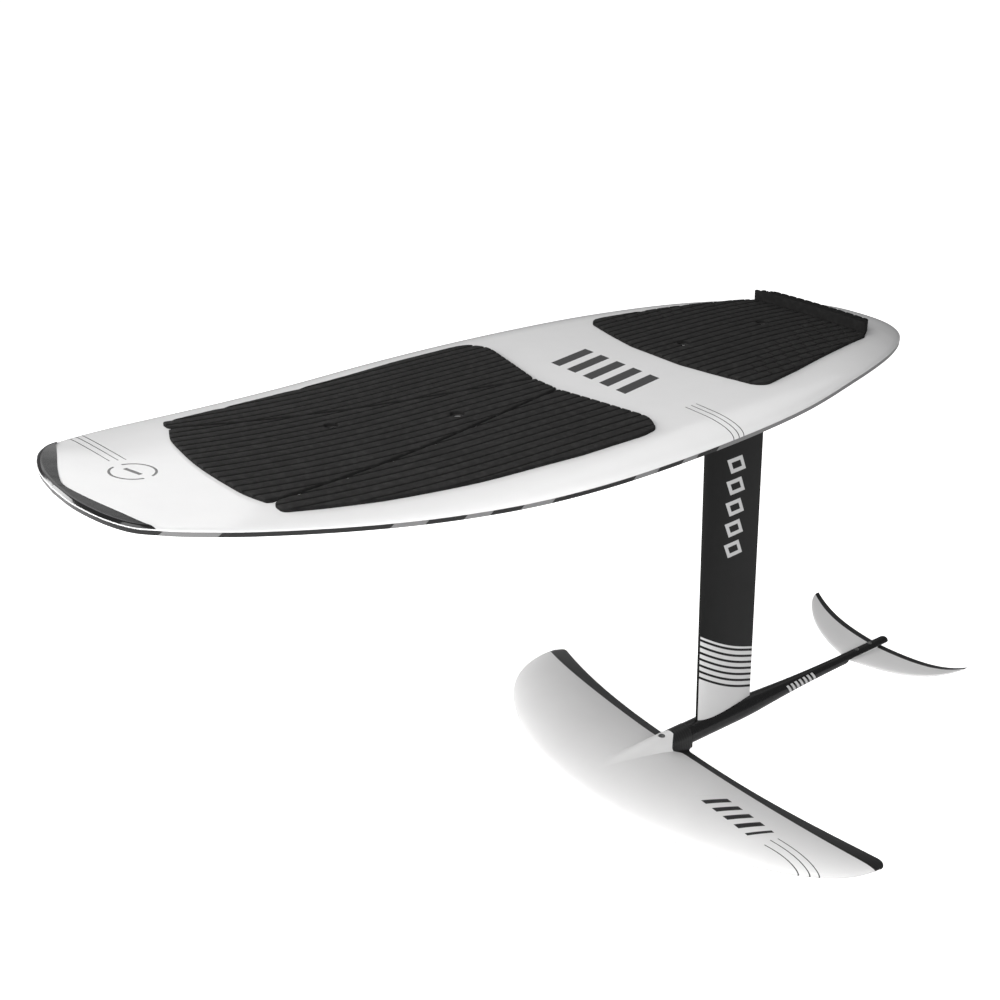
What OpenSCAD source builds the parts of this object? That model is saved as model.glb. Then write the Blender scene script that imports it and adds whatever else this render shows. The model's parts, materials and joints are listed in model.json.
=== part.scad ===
// Foil board: a moulded surf board carried on a mast, a fuselage, a front wing and a stabiliser.
// Millimetres. +X points to the nose, +Y to port, +Z up.
// The origin is on the mast's mid chord line, at the flat of the board's bottom.

/* [Board] */
// Nose tip, forward of the mast
nose_x = 1050; // [1000:10:1100]
// Tail end, behind the mast
tail_x = -292; // [-310:1:-280]
// Half width of the board at its widest
half_beam = 276; // [265:1:285]
// Height of the deck above the flat of the bottom
deck_z = 52; // [50:1:60]
// Rise of the deck at the nose
nose_rise = 49; // [35:1:50]
// Drop of the deck at the tail
tail_drop = 24; // [15:1:26]
// Height of the rail's face, deck to lower edge, over the mast
rail_h = 25; // [22:1:28]
// Height of the rail's face at the nose
nose_rail_h = 12; // [11:1:16]
// Thickness of the laminated skins
skin = 2.4; // [2:0.1:3]

/* [Pads] */
// Thickness of the traction pads
pad_t = 5; // [4:0.5:6]
// Height of the tail kick above the deck
kick_h = 21; // [15:1:25]

/* [Foil tracks] */
// Distance between the two foil tracks
track_pitch = 90; // [88:1:92]
// Length of each track box
track_len = 284; // [280:2:300]
// Distance between the plate bolts along the board
bolt_pitch = 165; // [160:1:168]

/* [Mast] */
// Chord of the mast section
mast_chord = 125; // [115:1:128]
// Thickness of the mast section
mast_thick = 17; // [15:0.5:19]
// Height from the board's bottom down to the fuselage's axis
foil_drop = 637.5; // [600:0.5:700]

/* [Fuselage] */
// Radius of the fuselage under the mast
fuselage_r = 18.5; // [18:0.5:20]
// Radius of the fuselage at its tail
fuselage_tail_r = 9.5; // [9:0.5:11]
// Tail end of the fuselage
fuselage_tail_x = -416; // [-430:1:-405]

/* [Front wing] */
// Half span of the front wing
wing_half = 400; // [370:5:430]
// Root chord of the front wing
wing_chord = 222; // [210:1:230]
// Leading edge of the front wing at its root
wing_le_x = 322; // [315:1:330]
// Drop of the wing tips
wing_anhedral = 33; // [20:1:40]

/* [Stabiliser] */
// Half span of the stabiliser
stab_half = 176; // [160:1:190]
// Root chord of the stabiliser
stab_chord = 92; // [85:1:95]
// Leading edge of the stabiliser at its root
stab_le_x = -310; // [-314:1:-306]
// Rise of the stabiliser's tips
stab_rise = 25; // [10:1:30]

/* [Hidden] */

gap = 0.15;
// Half widths of the board at stations along it, tail to nose; the middle ones as shares of half_beam
tail_pts = [
    [tail_x, 0], [tail_x + 3, 34], [tail_x + 14, 66], [tail_x + 40, 98],
    [tail_x + 90, 134], [-130, 172], [-30, 210]
];
beam_pts = [
    [110, 0.902], [250, 0.972], [400, 1], [540, 0.982], [680, 0.908], [800, 0.812], [900, 0.708]
];
nose_pts = [
    [nose_x - 90, 172], [nose_x - 58, 155], [nose_x - 35, 138],
    [nose_x - 17, 104], [nose_x - 4, 54], [nose_x, 0]
];
half_pts = concat(tail_pts, [for (p = beam_pts) [p[0], p[1] * half_beam]], nose_pts);
ring_sub = 2;
// The deck and bottom surfaces are lofted between the outline and this spine
spine = [-200, 880];

// Catmull-Rom curve through points p, at segment i and fraction t
function at(p, i) = p[max(0, min(len(p) - 1, i))];
function curve(p, i, t) =
    let (a = at(p, i - 1), b = at(p, i), c = at(p, i + 1), d = at(p, i + 2))
    0.5 * (2 * b + (c - a) * t + (2 * a - 5 * b + 4 * c - d) * t * t
        + (3 * b - a - 3 * c + d) * t * t * t);
half_line = [
    for (i = [0:len(half_pts) - 2])
        for (k = [0:ring_sub - 1])
            let (q = curve(half_pts, i, k / ring_sub))
            [q[0], max(q[1], 0)]
];
// Whole outline, counter-clockwise from the tail round by starboard: tail, starboard, nose, port
outline = concat(
    [for (q = half_line) [q[0], -q[1]]],
    [half_pts[len(half_pts) - 1]],
    [for (i = [len(half_line) - 1:-1:1]) half_line[i]]
);

// Deck height on the centre line, the rail's height and the bottom, at station x
function deck_at(x) =
    deck_z + nose_rise * pow(max(0, x - 550) / (nose_x - 550), 2)
    - tail_drop * pow(max(0, 30 - x) / (30 - tail_x), 2);
function rail_at(x) = nose_rail_h + (rail_h - nose_rail_h) * smooth(x, 950, 420);
function smooth(x, a, b) = let (t = max(0, min(1, (x - a) / (b - a)))) t * t * (3 - 2 * t);
function keel_at(x) =
    let (nose_keel = deck_at(nose_x) - nose_rail_h)
    nose_keel * pow(max(0, x - 300) / (nose_x - 300), 2)
    + 6 * pow(max(0, -150 - x) / (-150 - tail_x), 2);

crown = 3;
strip_h = 6;
shoulder = 55;
function clamp(x, a, b) = max(a, min(b, x));
function spine_of(q) = [clamp(q[0], spine[0], spine[1]), 0];
function reach(q) = norm(q - spine_of(q));
// A ring of plan points moved in from the outline by distance d, at most to share of the way
function ring(line, d, share) = [
    for (q = line)
        let (c = spine_of(q), r = reach(q), s = min(d / r, share))
        [c[0] + (q[0] - c[0]) * (1 - s), c[1] + (q[1] - c[1]) * (1 - s), s * r, r]
];
// Height of the deck at a ring point p = [x, y, inset, reach]
function deck_drop(p) =
    let (b = rail_at(p[0]) - strip_h, a = min(shoulder, 0.6 * p[3]), u = max(0, 1 - p[2] / a))
    b * (1 - sqrt(1 - u * u)) + crown * pow(1 - p[2] / p[3], 2) * (1 - u * u);
function deck_height(p) = deck_at(p[0]) - deck_drop(p);
function edge_height(p) = deck_at(p[0]) - rail_at(p[0]) + strip_h;
function on_deck(r, dz) = [for (p = r) [p[0], p[1], deck_height(p) + dz]];
function on_edge(r, dz) = [for (p = r) [p[0], p[1], edge_height(p) + dz]];
function keel_height(p) = min(keel_at(p[0]), edge_height(p) - strip_h);
function on_keel(r, dz) = [for (p = r) [p[0], p[1], keel_height(p) + dz]];

// Closed solid through a list of rings with the same number of points.
// Its two ends are closed by strips between the starboard and the port points.
// The bands from turned[0] to turned[1] take the other diagonal, so that a surface that runs
// back towards the spine is parallel to one that runs out from it.
module loft(rings, turned = [-1, -1]) {
    n = len(rings[0]);
    h = floor(n / 2);
    last = (len(rings) - 1) * n;
    function strip(o, flip) = [
        for (i = [0:h - 1])
            let (a = o + i, b = o + i + 1, c = o + (n - i - 1) % n, d = o + (n - i) % n)
            for (f = (i == 0) ? [[a, b, c]] : (b == c) ? [[a, b, d]] : [[a, b, c], [a, c, d]])
                flip ? [f[2], f[1], f[0]] : f
    ];
    polyhedron(
        points = [for (r = rings) for (p = r) p],
        faces = concat(
            strip(0, true),
            [
                for (k = [0:len(rings) - 2])
                    for (i = [0:n - 1])
                        let (
                            a = k * n + i, b = k * n + (i + 1) % n, c = a + n, d = b + n,
                            other = k >= turned[0] && k <= turned[1]
                        )
                        for (f = other ? [[a, b, c], [b, d, c]] : [[a, b, d], [a, d, c]]) f
            ],
            strip(last, false)
        )
    );
}
board_z0 = -5;
board_z1 = 140;
guard_depth = 17;
// The nose guard takes everything forward of this line
guard_line = [
    [nose_x - 70, 230], [nose_x - 57, 168], [nose_x - 50, 136], [nose_x - 31, 76], [nose_x - guard_depth, 0],
    [nose_x - 31, -76], [nose_x - 50, -136], [nose_x - 57, -168], [nose_x - 70, -230]
];
module guard_region(back) {
    translate([-back, 0, board_z0])
        linear_extrude(board_z1)
            polygon(concat(guard_line, [[nose_x + 30, -230], [nose_x + 30, 230]]));
}

deck_insets = [70, 36, 18, 8, 2.5];
bevel_inset = 70;
inner_share = 0.96;
full = 0.93;
edge_inset = 0.6;
// The deck's rings, spine to rim, moved in and down by t
function deck_rings(t) = concat(
    [on_deck(ring(outline, 900, inner_share), -t)],
    [for (d = deck_insets) on_deck(ring(outline, d + t, full), -t)]
);
function keel_rings(t) = [
    on_keel(ring(outline, bevel_inset + t, full - 0.1), t),
    on_keel(ring(outline, 900, inner_share), t)
];
module board_solid() {
    loft(concat(
        deck_rings(0),
        [on_edge(ring(outline, 0, full), 0), on_edge(ring(outline, edge_inset, full), -strip_h)],
        keel_rings(0)
    ));
}
function between(a, b, s, up) = [for (i = [0:len(a) - 1]) a[i] + (b[i] - a[i]) * s + [0, 0, up]];
// The foam stops with a square edge a little inside the joint of the two skins, where they leave
// no room for it, and that edge stays clear of the bottom skin
core_lift = 0.5;
module core_solid() {
    t = skin + gap;
    deck = deck_rings(t);
    keel = keel_rings(t);
    rim = on_edge(ring(outline, t, full), 0);
    stop = deck_insets[len(deck_insets) - 2];
    loft(concat(
        [for (k = [0:len(deck) - 2]) deck[k]],
        [between(rim, keel[0], stop / bevel_inset, core_lift)],
        keel
    ));
}

// Insert positions along and across the board
strap_at = [[674, -47], [522, 17], [105, -7], [-55, -7]];
barrel_r = 9;
barrel_len = 20;
insert_r = 4.5;
insert_bore_r = 2.5;
insert_len = 15;
module at_straps(drop) {
    for (s = strap_at)
        translate([s[0], s[1], deck_at(s[0]) - crown - drop]) children();
}

track_w = 22;
track_h = 17;
lip = 4;
slot_w = 9.5;
cavity_w = 20;
cavity_h = 9;
cavity_len = track_len - 16;
block_w = track_pitch + 42;
block_len = track_len + 24;
block_h = 23;
stringer_y = 82;
stringer_t = 4;
stringer_x = [-170, 860];

module track_space(extra) {
    for (side = [-1, 1])
        translate([-track_len / 2 - extra, side * track_pitch / 2 - track_w / 2 - extra, -1])
            cube([track_len + 2 * extra, track_w + 2 * extra, track_h + 1 + extra]);
}
module block_space(extra) {
    translate([-block_len / 2 - extra, -block_w / 2 - extra, skin + gap - extra])
        cube([block_len + 2 * extra, block_w + 2 * extra, block_h + 2 * extra]);
}
module stringer_boards(extra) {
    for (side = [-1, 1])
        translate([stringer_x[0] - extra, side * stringer_y - stringer_t / 2 - extra, board_z0])
            cube([stringer_x[1] - stringer_x[0] + 2 * extra, stringer_t + 2 * extra, board_z1]);
}

module deck_skin() {
    color("white")
        difference() {
            loft(
                concat(
                    deck_rings(0),
                    [on_edge(ring(outline, 0, full), 0), on_edge(ring(outline, skin, full), 0)],
                    [for (k = [len(deck_insets):-1:0]) deck_rings(skin)[k]]
                ),
                [len(deck_insets) + 2, 2 * len(deck_insets) + 2]
            );
            guard_region(gap);
            at_straps(barrel_len) cylinder(h = 2 * barrel_len, r = barrel_r + gap, $fn = 48);
        }
}

module bottom_skin() {
    color("lightgray")
        difference() {
            loft(
                concat(
                    [keel_rings(skin)[1], keel_rings(skin)[0]],
                    [on_edge(ring(outline, skin, full), -gap), on_edge(ring(outline, 0, full), -gap)],
                    [on_edge(ring(outline, edge_inset, full), -strip_h)],
                    keel_rings(0)
                ),
                [0, 1]
            );
            guard_region(gap);
            track_space(gap);
        }
}

module foam_core() {
    color("gainsboro")
        difference() {
            core_solid();
            guard_region(gap);
            block_space(gap);
            stringer_boards(gap);
            at_straps(barrel_len + gap) cylinder(h = 2 * barrel_len, r = barrel_r + gap, $fn = 48);
        }
}

module stringers() {
    color("burlywood")
        intersection() {
            core_solid();
            stringer_boards(0);
        }
}

module nose_guard() {
    color("black")
        intersection() {
            board_solid();
            guard_region(0);
        }
}

// A track box: a channel with two lips and a wide mouth at its middle for dropping in a nut
module track_box() {
    mouth_len = 24;
    difference() {
        translate([-track_len / 2, -track_w / 2, 0]) cube([track_len, track_w, track_h]);
        translate([-cavity_len / 2, -cavity_w / 2, lip]) cube([cavity_len, cavity_w, cavity_h]);
        translate([-cavity_len / 2, -slot_w / 2, -1]) cube([cavity_len, slot_w, lip + 2]);
        translate([-mouth_len / 2, -cavity_w / 2, -1]) cube([mouth_len, cavity_w, lip + 2]);
    }
}
module track_left() {
    color("dimgray") translate([0, track_pitch / 2, 0]) track_box();
}
module track_right() {
    color("dimgray") translate([0, -track_pitch / 2, 0]) track_box();
}
module track_block() {
    color("khaki")
        difference() {
            block_space(0);
            track_space(gap);
        }
}

module strap_barrels() {
    color("dimgray")
        at_straps(barrel_len)
            difference() {
                cylinder(h = barrel_len, r = barrel_r, $fn = 48);
                translate([0, 0, barrel_len - insert_len - gap])
                    cylinder(h = barrel_len, r = insert_r + gap, $fn = 48);
            }
}
module strap_inserts() {
    color("gold")
        at_straps(insert_len)
            difference() {
                cylinder(h = insert_len, r = insert_r, $fn = 48);
                translate([0, 0, -1]) cylinder(h = insert_len + 2, r = insert_bore_r, $fn = 48);
            }
}

// Traction pads: cross sections that follow the deck, stepped along X
half_table = [for (q = half_line) q];
function half_at(x) = lookup(x, half_table);
function deck_xy(x, y) = let (w = half_at(x)) deck_height([x, y, w - abs(y), w]);
pad_gap = 0.3;
pad_cols = 8;
function pad_section(x, y0, y1, t) = concat(
    [for (j = [0:pad_cols]) let (y = y0 + (y1 - y0) * j / pad_cols) [x, y, deck_xy(x, y) + pad_gap]],
    [for (j = [pad_cols:-1:0]) let (y = y0 + (y1 - y0) * j / pad_cols) [x, y, deck_xy(x, y) + t]]
);
// Closed solid through flat sections, with flat ends
module through(rings) {
    n = len(rings[0]);
    last = (len(rings) - 1) * n;
    polyhedron(
        points = [for (r = rings) for (p = r) p],
        faces = concat(
            [[for (i = [0:n - 1]) i]],
            [
                for (k = [0:len(rings) - 2])
                    for (i = [0:n - 1])
                        let (a = k * n + i, b = k * n + (i + 1) % n, c = a + n, d = b + n)
                        for (f = [[a, c, d], [a, d, b]]) f
            ],
            [[for (i = [n - 1:-1:0]) last + i]]
        )
    );
}
function stations(a, b, n) = [for (i = [0:n]) a + (b - a) * i / n];

pad_tail = 336;
pad_notch = 364;
pad_shoulder = 855;
pad_nose = 877.5;
seam_half = 0.8;
seam_tail_y = 26;
seam_nose_y = 140;
function seam_at(x) = lookup(x, [[pad_notch, seam_tail_y], [pad_shoulder, seam_nose_y]]);
front_outer = [
    [pad_tail, 186], [374, 219], [474, 219], [545, 213], [617, 208], [681, 200], [740, 192], [800, 180],
    [pad_shoulder, 167]
];
function pad_inner(x) = x < pad_notch
    ? lookup(x, [[pad_tail, 168], [pad_notch, seam_tail_y + seam_half]])
    : seam_at(x) + seam_half;
module strap_holes() {
    at_straps(barrel_len) cylinder(h = 3 * barrel_len, r = barrel_r, $fn = 48);
}
module front_pad_side(side) {
    xs = concat(stations(pad_tail, pad_notch, 3), stations(pad_notch + 10, pad_shoulder, 14));
    rings = [for (x = xs) pad_section(x, pad_inner(x), lookup(x, front_outer), pad_t)];
    mirror([0, side < 0 ? 1 : 0, 0]) through(rings);
}
module front_pad_left() {
    color("black") front_pad_side(1);
}
module front_pad_right() {
    color("black") front_pad_side(-1);
}
module front_pad_centre() {
    front_table = [[pad_shoulder, seam_nose_y - seam_half], [868, 104], [874.5, 60], [pad_nose, 12]];
    xs = concat(stations(pad_notch, pad_shoulder, 14), [868, 874.5, pad_nose]);
    color("black")
        difference() {
            through([
                for (x = xs)
                    let (w = x <= pad_shoulder ? seam_at(x) - seam_half : lookup(x, front_table))
                    pad_section(x, -w, w, pad_t)
            ]);
            strap_holes();
        }
}

kick_front = -146;
kick_back = -178;
kick_wide = 117;
kick_narrow = 95;
module rear_pad() {
    rear_table = [
        [kick_front, 121], [-83, 138], [-26, 153], [55, 173],
        [128, 188], [140, 177], [158, 110], [168, 60]
    ];
    xs = concat(stations(kick_front + 0.4, 128, 9), [140, 158, 168]);
    color("black")
        difference() {
            through([for (x = xs) let (w = lookup(x, rear_table)) pad_section(x, -w, w, pad_t)]);
            strap_holes();
        }
}
module kick_block() {
    color("black")
        through([
            for (x = stations(kick_back, kick_front, 3))
                let (w = lookup(x, [[kick_back, kick_narrow], [kick_front, kick_wide]]))
                pad_section(x, -w, w, kick_h)
        ]);
}

// Symmetric aerofoil in plan, nose towards +X and centred on the mast's axis
foil_n = 18;
function thickness_at(s) =
    2.969 * sqrt(s) - 1.26 * s - 3.516 * s * s + 2.843 * pow(s, 3) - 1.015 * pow(s, 4);
function spaced(i) = (1 - cos(180 * i / foil_n)) / 2;
tail_edge = 0.3;
thinnest = 0.1;
module aerofoil(chord, thick, grow) {
    c = chord + 2 * grow;
    function point(i, side) = [
        c / 2 - c * spaced(i),
        i == 0 ? 0 : side * max(thick / 2 * thickness_at(spaced(i)) + tail_edge * spaced(i) + grow, thinnest)
    ];
    polygon(concat([for (i = [0:foil_n]) point(i, 1)], [for (i = [foil_n:-1:1]) point(i, -1)]));
}

plate_top = -0.3;
plate_t = 9;
plate_len = 196;
plate_w = 118;
plate_r = 18;
collar_h = 30;
collar_grow = 6;
mast_top = -5.2;
mast_foot = -foil_drop + 7.5;
mast_wall = 2.6;
screw_r = 3;
screw_head_r = 5.4;
mast_screw_x = [34, 6, -20];
mast_screw_reach = 42;

module at_plate_bolts(z) {
    for (sx = [-1, 1])
        for (sy = [-1, 1])
            translate([sx * bolt_pitch / 2, sy * track_pitch / 2, z]) children();
}
module mast_plate() {
    color("black")
        difference() {
            union() {
                translate([-plate_len / 2 + plate_r, -plate_w / 2, plate_top - plate_t])
                    cube([plate_len - 2 * plate_r, plate_w, plate_t]);
                translate([-plate_len / 2, -plate_w / 2 + plate_r, plate_top - plate_t])
                    cube([plate_len, plate_w - 2 * plate_r, plate_t]);
                for (sx = [-1, 1])
                    for (sy = [-1, 1])
                        translate([
                            sx * (plate_len / 2 - plate_r), sy * (plate_w / 2 - plate_r), plate_top - plate_t
                        ])
                            cylinder(h = plate_t, r = plate_r, $fn = 64);
                translate([0, 0, -collar_h])
                    linear_extrude(collar_h - 1) aerofoil(mast_chord, mast_thick, collar_grow);
            }
            translate([0, 0, -collar_h - 1])
                linear_extrude(collar_h + 1 + mast_top + gap) aerofoil(mast_chord, mast_thick, gap);
            at_plate_bolts(-2 * plate_t) cylinder(h = 3 * plate_t, r = 4.4, $fn = 48);
            for (x = mast_screw_x)
                translate([x, 0, -2 * plate_t]) {
                    cylinder(h = 3 * plate_t, r = screw_r + 0.2, $fn = 48);
                    translate([0, 0, 2 * plate_t - 4.2])
                        cylinder(h = 3.4, r1 = screw_r + 0.2, r2 = 6.3, $fn = 48);
                    translate([0, 0, 2 * plate_t - 0.85]) cylinder(h = 2, r = 6.3, $fn = 48);
                }
        }
}

washer_t = 1.6;
bolt_r = 4;
module plate_bolts() {
    seat = plate_top - plate_t - washer_t;
    color("silver")
        at_plate_bolts(0)
            difference() {
                union() {
                    translate([0, 0, seat - 6.2]) cylinder(h = 6, r = 6.5, $fn = 48);
                    translate([0, 0, seat - 1]) cylinder(h = 22.5, r = bolt_r, $fn = 48);
                }
                translate([0, 0, seat - 7]) cylinder(h = 4, r = 3.4, $fn = 6);
            }
}
module plate_washers() {
    color("silver")
        at_plate_bolts(plate_top - plate_t - washer_t - 0.1)
            difference() {
                cylinder(h = washer_t, r = 8, $fn = 48);
                translate([0, 0, -1]) cylinder(h = washer_t + 2, r = bolt_r + 0.3, $fn = 48);
            }
}
module track_nuts() {
    nut_len = 20;
    nut_w = 18;
    nut_h = 6;
    color("gray")
        at_plate_bolts(lip + 0.1)
            difference() {
                translate([-nut_len / 2, -nut_w / 2, 0]) cube([nut_len, nut_w, nut_h]);
                translate([0, 0, -1]) cylinder(h = nut_h + 2, r = bolt_r + 0.05, $fn = 48);
            }
}

// Extruded mast: an aerofoil tube with solid webs that hold the screws
module mast() {
    cells = [[55, 41], [27, 13], [-1, -13], [-27, -44]];
    color("black")
        difference() {
            translate([0, 0, mast_foot])
                linear_extrude(mast_top - mast_foot) aerofoil(mast_chord, mast_thick, 0);
            intersection() {
                translate([0, 0, mast_foot - 1])
                    linear_extrude(mast_top - mast_foot + 2) aerofoil(mast_chord, mast_thick, -mast_wall);
                for (c = cells)
                    translate([c[1], -mast_thick, mast_foot - 1])
                        cube([c[0] - c[1], 2 * mast_thick, mast_top - mast_foot + 2]);
            }
            for (x = mast_screw_x) {
                translate([x, 0, mast_top - mast_screw_reach])
                    cylinder(h = 60, r = screw_r + 0.05, $fn = 48);
                translate([x, 0, mast_foot + mast_screw_reach - 60])
                    cylinder(h = 60, r = screw_r + 0.05, $fn = 48);
            }
        }
}
module mast_top_screws() {
    color("silver")
        for (x = mast_screw_x)
            translate([x, 0, 0])
                difference() {
                    union() {
                        translate([0, 0, mast_top - 38]) cylinder(h = 40, r = screw_r, $fn = 48);
                        translate([0, 0, -4]) cylinder(h = 3, r1 = screw_r, r2 = 6, $fn = 48);
                    }
                    translate([0, 0, -3]) cylinder(h = 4, r = 2.2, $fn = 6);
                }
}
foot_head_z = -foil_drop - fuselage_r + 0.5;
foot_head_h = 5;
module mast_foot_screws() {
    color("silver")
        for (x = mast_screw_x)
            translate([x, 0, foot_head_z])
                difference() {
                    union() {
                        cylinder(h = foot_head_h, r = screw_head_r, $fn = 48);
                        cylinder(h = mast_foot - foot_head_z + 38, r = screw_r, $fn = 48);
                    }
                    translate([0, 0, -1]) cylinder(h = 4, r = 2.9, $fn = 6);
                }
}

// The fuselage is turned about an axis along X
spigot_r = 12;
spigot_end = 190;
joint_x = 86;
seat_z = -foil_drop + 1.4;
seat_x = -306;
stab_screw_x = [-335, -370];
stab_head_z = -foil_drop + 5;
module along_x() {
    translate([0, 0, -foil_drop]) rotate([0, 90, 0]) children();
}
module fuselage() {
    color("black")
        difference() {
            along_x()
                rotate_extrude($fn = 96)
                    polygon([
                        [0, fuselage_tail_x], [6, fuselage_tail_x],
                        [fuselage_tail_r - 1.5, fuselage_tail_x + 4],
                        [fuselage_tail_r, fuselage_tail_x + 10], [fuselage_tail_r, -290],
                        [fuselage_tail_r + 0.6, -245], [fuselage_tail_r + 2, -188],
                        [fuselage_tail_r + 4.1, -138], [fuselage_r - 2.3, -90], [fuselage_r - 0.7, -62],
                        [fuselage_r, -30], [fuselage_r, joint_x], [spigot_r, joint_x],
                        [spigot_r, spigot_end - 2],
                        [spigot_r - 2, spigot_end], [0, spigot_end]
                    ]);
            translate([0, 0, mast_foot - gap]) linear_extrude(60) aerofoil(mast_chord, mast_thick, gap);
            for (x = mast_screw_x)
                translate([x, 0, -foil_drop]) {
                    translate([0, 0, -30]) cylinder(h = 60, r = screw_r + 0.2, $fn = 48);
                    translate([0, 0, foot_head_z + foil_drop + foot_head_h + 0.1 - 30])
                        cylinder(h = 30, r = screw_head_r + 0.3, $fn = 48);
                }
            translate([seat_x - 200, -30, seat_z - 40]) cube([200, 60, 40]);
            for (x = stab_screw_x)
                translate([x, 0, 0]) {
                    translate([0, 0, stab_head_z - 30]) cylinder(h = 60, r = 2.7, $fn = 48);
                    translate([0, 0, stab_head_z]) cylinder(h = 30, r = 4.6, $fn = 48);
                }
            translate([wing_bolt_x, 0, -foil_drop - 11]) cylinder(h = 40, r = screw_r + 0.05, $fn = 48);
        }
}

// Cambered section of a wing, with its leading edge at le and its trailing edge at te
section_n = 10;
function share(i) = (1 - cos(180 * i / section_n)) / 2;
function camber_line(s) = 4 * s * (1 - s);
function wing_point(le, te, y, thick, camber, s, up) = [
    le[0] + (te[0] - le[0]) * s,
    y,
    le[1] + (te[1] - le[1]) * s + camber * camber_line(s) + up * (thick / 2 * thickness_at(s) + 0.4)
];
function wing_section(le, te, y, thick, camber) = concat(
    [for (i = [0:section_n]) wing_point(le, te, y, thick, camber, share(i), i == 0 ? 0 : -1)],
    [for (i = [section_n:-1:1]) wing_point(le, te, y, thick, camber, share(i), 1)]
);
// Span stations, closer together at the tips, as shares of the half span
function span(i, n) = sin(90 * i / n);

wing_tip_x = 56;
wing_te_x = wing_le_x - wing_chord;
wing_le_z = -foil_drop - 2.5;
wing_te_z = -foil_drop - 15.5;
wing_thick = 32;
wing_camber = 7;
wing_n = 13;
tip_share = 0.995;
function wing_le(u) = [
    wing_tip_x + (wing_le_x - wing_tip_x) * pow(1 - u * u, 0.53),
    wing_le_z - wing_anhedral * pow(abs(u), 5.2)
];
function wing_te(u) = [wing_te_x - 64 * pow(abs(u), 2.7), wing_te_z - (wing_anhedral - 10) * pow(abs(u), 4)];
wing_bolt_x = 138.5;
hub_r = fuselage_r + 0.6;
wing_head_z = -foil_drop + 14.7;
module front_wing() {
    color("white")
        difference() {
            union() {
                through([
                    for (i = [-wing_n:wing_n])
                        let (
                            u = span(i, wing_n) * tip_share,
                            le = wing_le(u),
                            te = wing_te(u),
                            k = (le[0] - te[0]) / wing_chord
                        )
                        wing_section(le, te, u * wing_half, wing_thick * pow(k, 1.15), wing_camber * k)
                ]);
                along_x()
                    rotate_extrude($fn = 96)
                        polygon([
                            [0, joint_x + 0.3], [hub_r, joint_x + 0.3], [hub_r, 150], [hub_r - 0.6, 185],
                            [hub_r - 2.6, 220], [hub_r - 6.5, 255], [hub_r - 13, 285], [0, 305]
                        ]);
            }
            along_x() cylinder(h = spigot_end + 1, r = spigot_r + 0.1, $fn = 96);
            translate([wing_bolt_x, 0, -foil_drop]) cylinder(h = 40, r = screw_r + 0.2, $fn = 48);
            translate([wing_bolt_x, 0, wing_head_z]) cylinder(h = 40, r = screw_head_r + 0.3, $fn = 48);
        }
}
module wing_bolt() {
    color("silver")
        translate([wing_bolt_x, 0, wing_head_z + 0.1])
            difference() {
                union() {
                    cylinder(h = 4, r = screw_head_r, $fn = 48);
                    translate([0, 0, -24]) cylinder(h = 25, r = screw_r, $fn = 48);
                }
                translate([0, 0, 1.8]) cylinder(h = 4, r = 2.9, $fn = 6);
            }
}

stab_z = -foil_drop - 3;
stab_te_x = stab_le_x - stab_chord + 6;
stab_thick = 8.5;
stab_n = 9;
bush_r = 4;
bush_z = -foil_drop - 6.2;
function stab_le(u) = [
    stab_le_x - 40 * abs(u) - 68 * (1 - sqrt(1 - u * u)),
    stab_z + stab_rise * pow(abs(u), 4)
];
function stab_te(u) = [stab_te_x - 26 * pow(abs(u), 1.5), stab_z + stab_rise * pow(abs(u), 4)];
module stabiliser() {
    root_half = 8.5;
    color("white")
        difference() {
            union() {
                through([
                    for (i = [-stab_n:stab_n])
                        let (
                            u = span(i, stab_n) * tip_share,
                            le = stab_le(u),
                            te = stab_te(u),
                            k = (le[0] - te[0]) / stab_chord
                        )
                        wing_section(le, te, u * stab_half, stab_thick * k, -1.5 * k)
                ]);
                translate([stab_te_x + 8, -root_half, stab_z - 3.4])
                    cube([stab_chord - 20, 2 * root_half, seat_z - gap - stab_z + 3.4]);
            }
            for (x = stab_screw_x)
                translate([x, 0, bush_z - gap]) cylinder(h = 20, r = bush_r + gap, $fn = 48);
        }
}
module stabiliser_bushes() {
    color("gold")
        for (x = stab_screw_x)
            translate([x, 0, bush_z])
                difference() {
                    cylinder(h = 6.8, r = bush_r, $fn = 48);
                    translate([0, 0, -1]) cylinder(h = 9, r = 2.55, $fn = 48);
                }
}
module stabiliser_screws() {
    color("silver")
        for (x = stab_screw_x)
            translate([x, 0, stab_head_z + 0.1])
                difference() {
                    union() {
                        cylinder(h = 4, r = 4.2, $fn = 48);
                        translate([0, 0, -10.5]) cylinder(h = 12, r = 2.5, $fn = 48);
                    }
                    translate([0, 0, 1.8]) cylinder(h = 4, r = 2.3, $fn = 6);
                }
}

deck_skin();
bottom_skin();
foam_core();
stringers();
nose_guard();
track_left();
track_right();
track_block();
strap_barrels();
strap_inserts();
front_pad_centre();
front_pad_left();
front_pad_right();
rear_pad();
kick_block();
mast_plate();
plate_bolts();
plate_washers();
track_nuts();
mast();
mast_top_screws();
mast_foot_screws();
fuselage();
front_wing();
wing_bolt();
stabiliser();
stabiliser_bushes();
stabiliser_screws();
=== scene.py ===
import json
import math

import bmesh
import bpy
import numpy as np
from mathutils import Matrix, Vector
from mathutils.geometry import delaunay_2d_cdt

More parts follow.
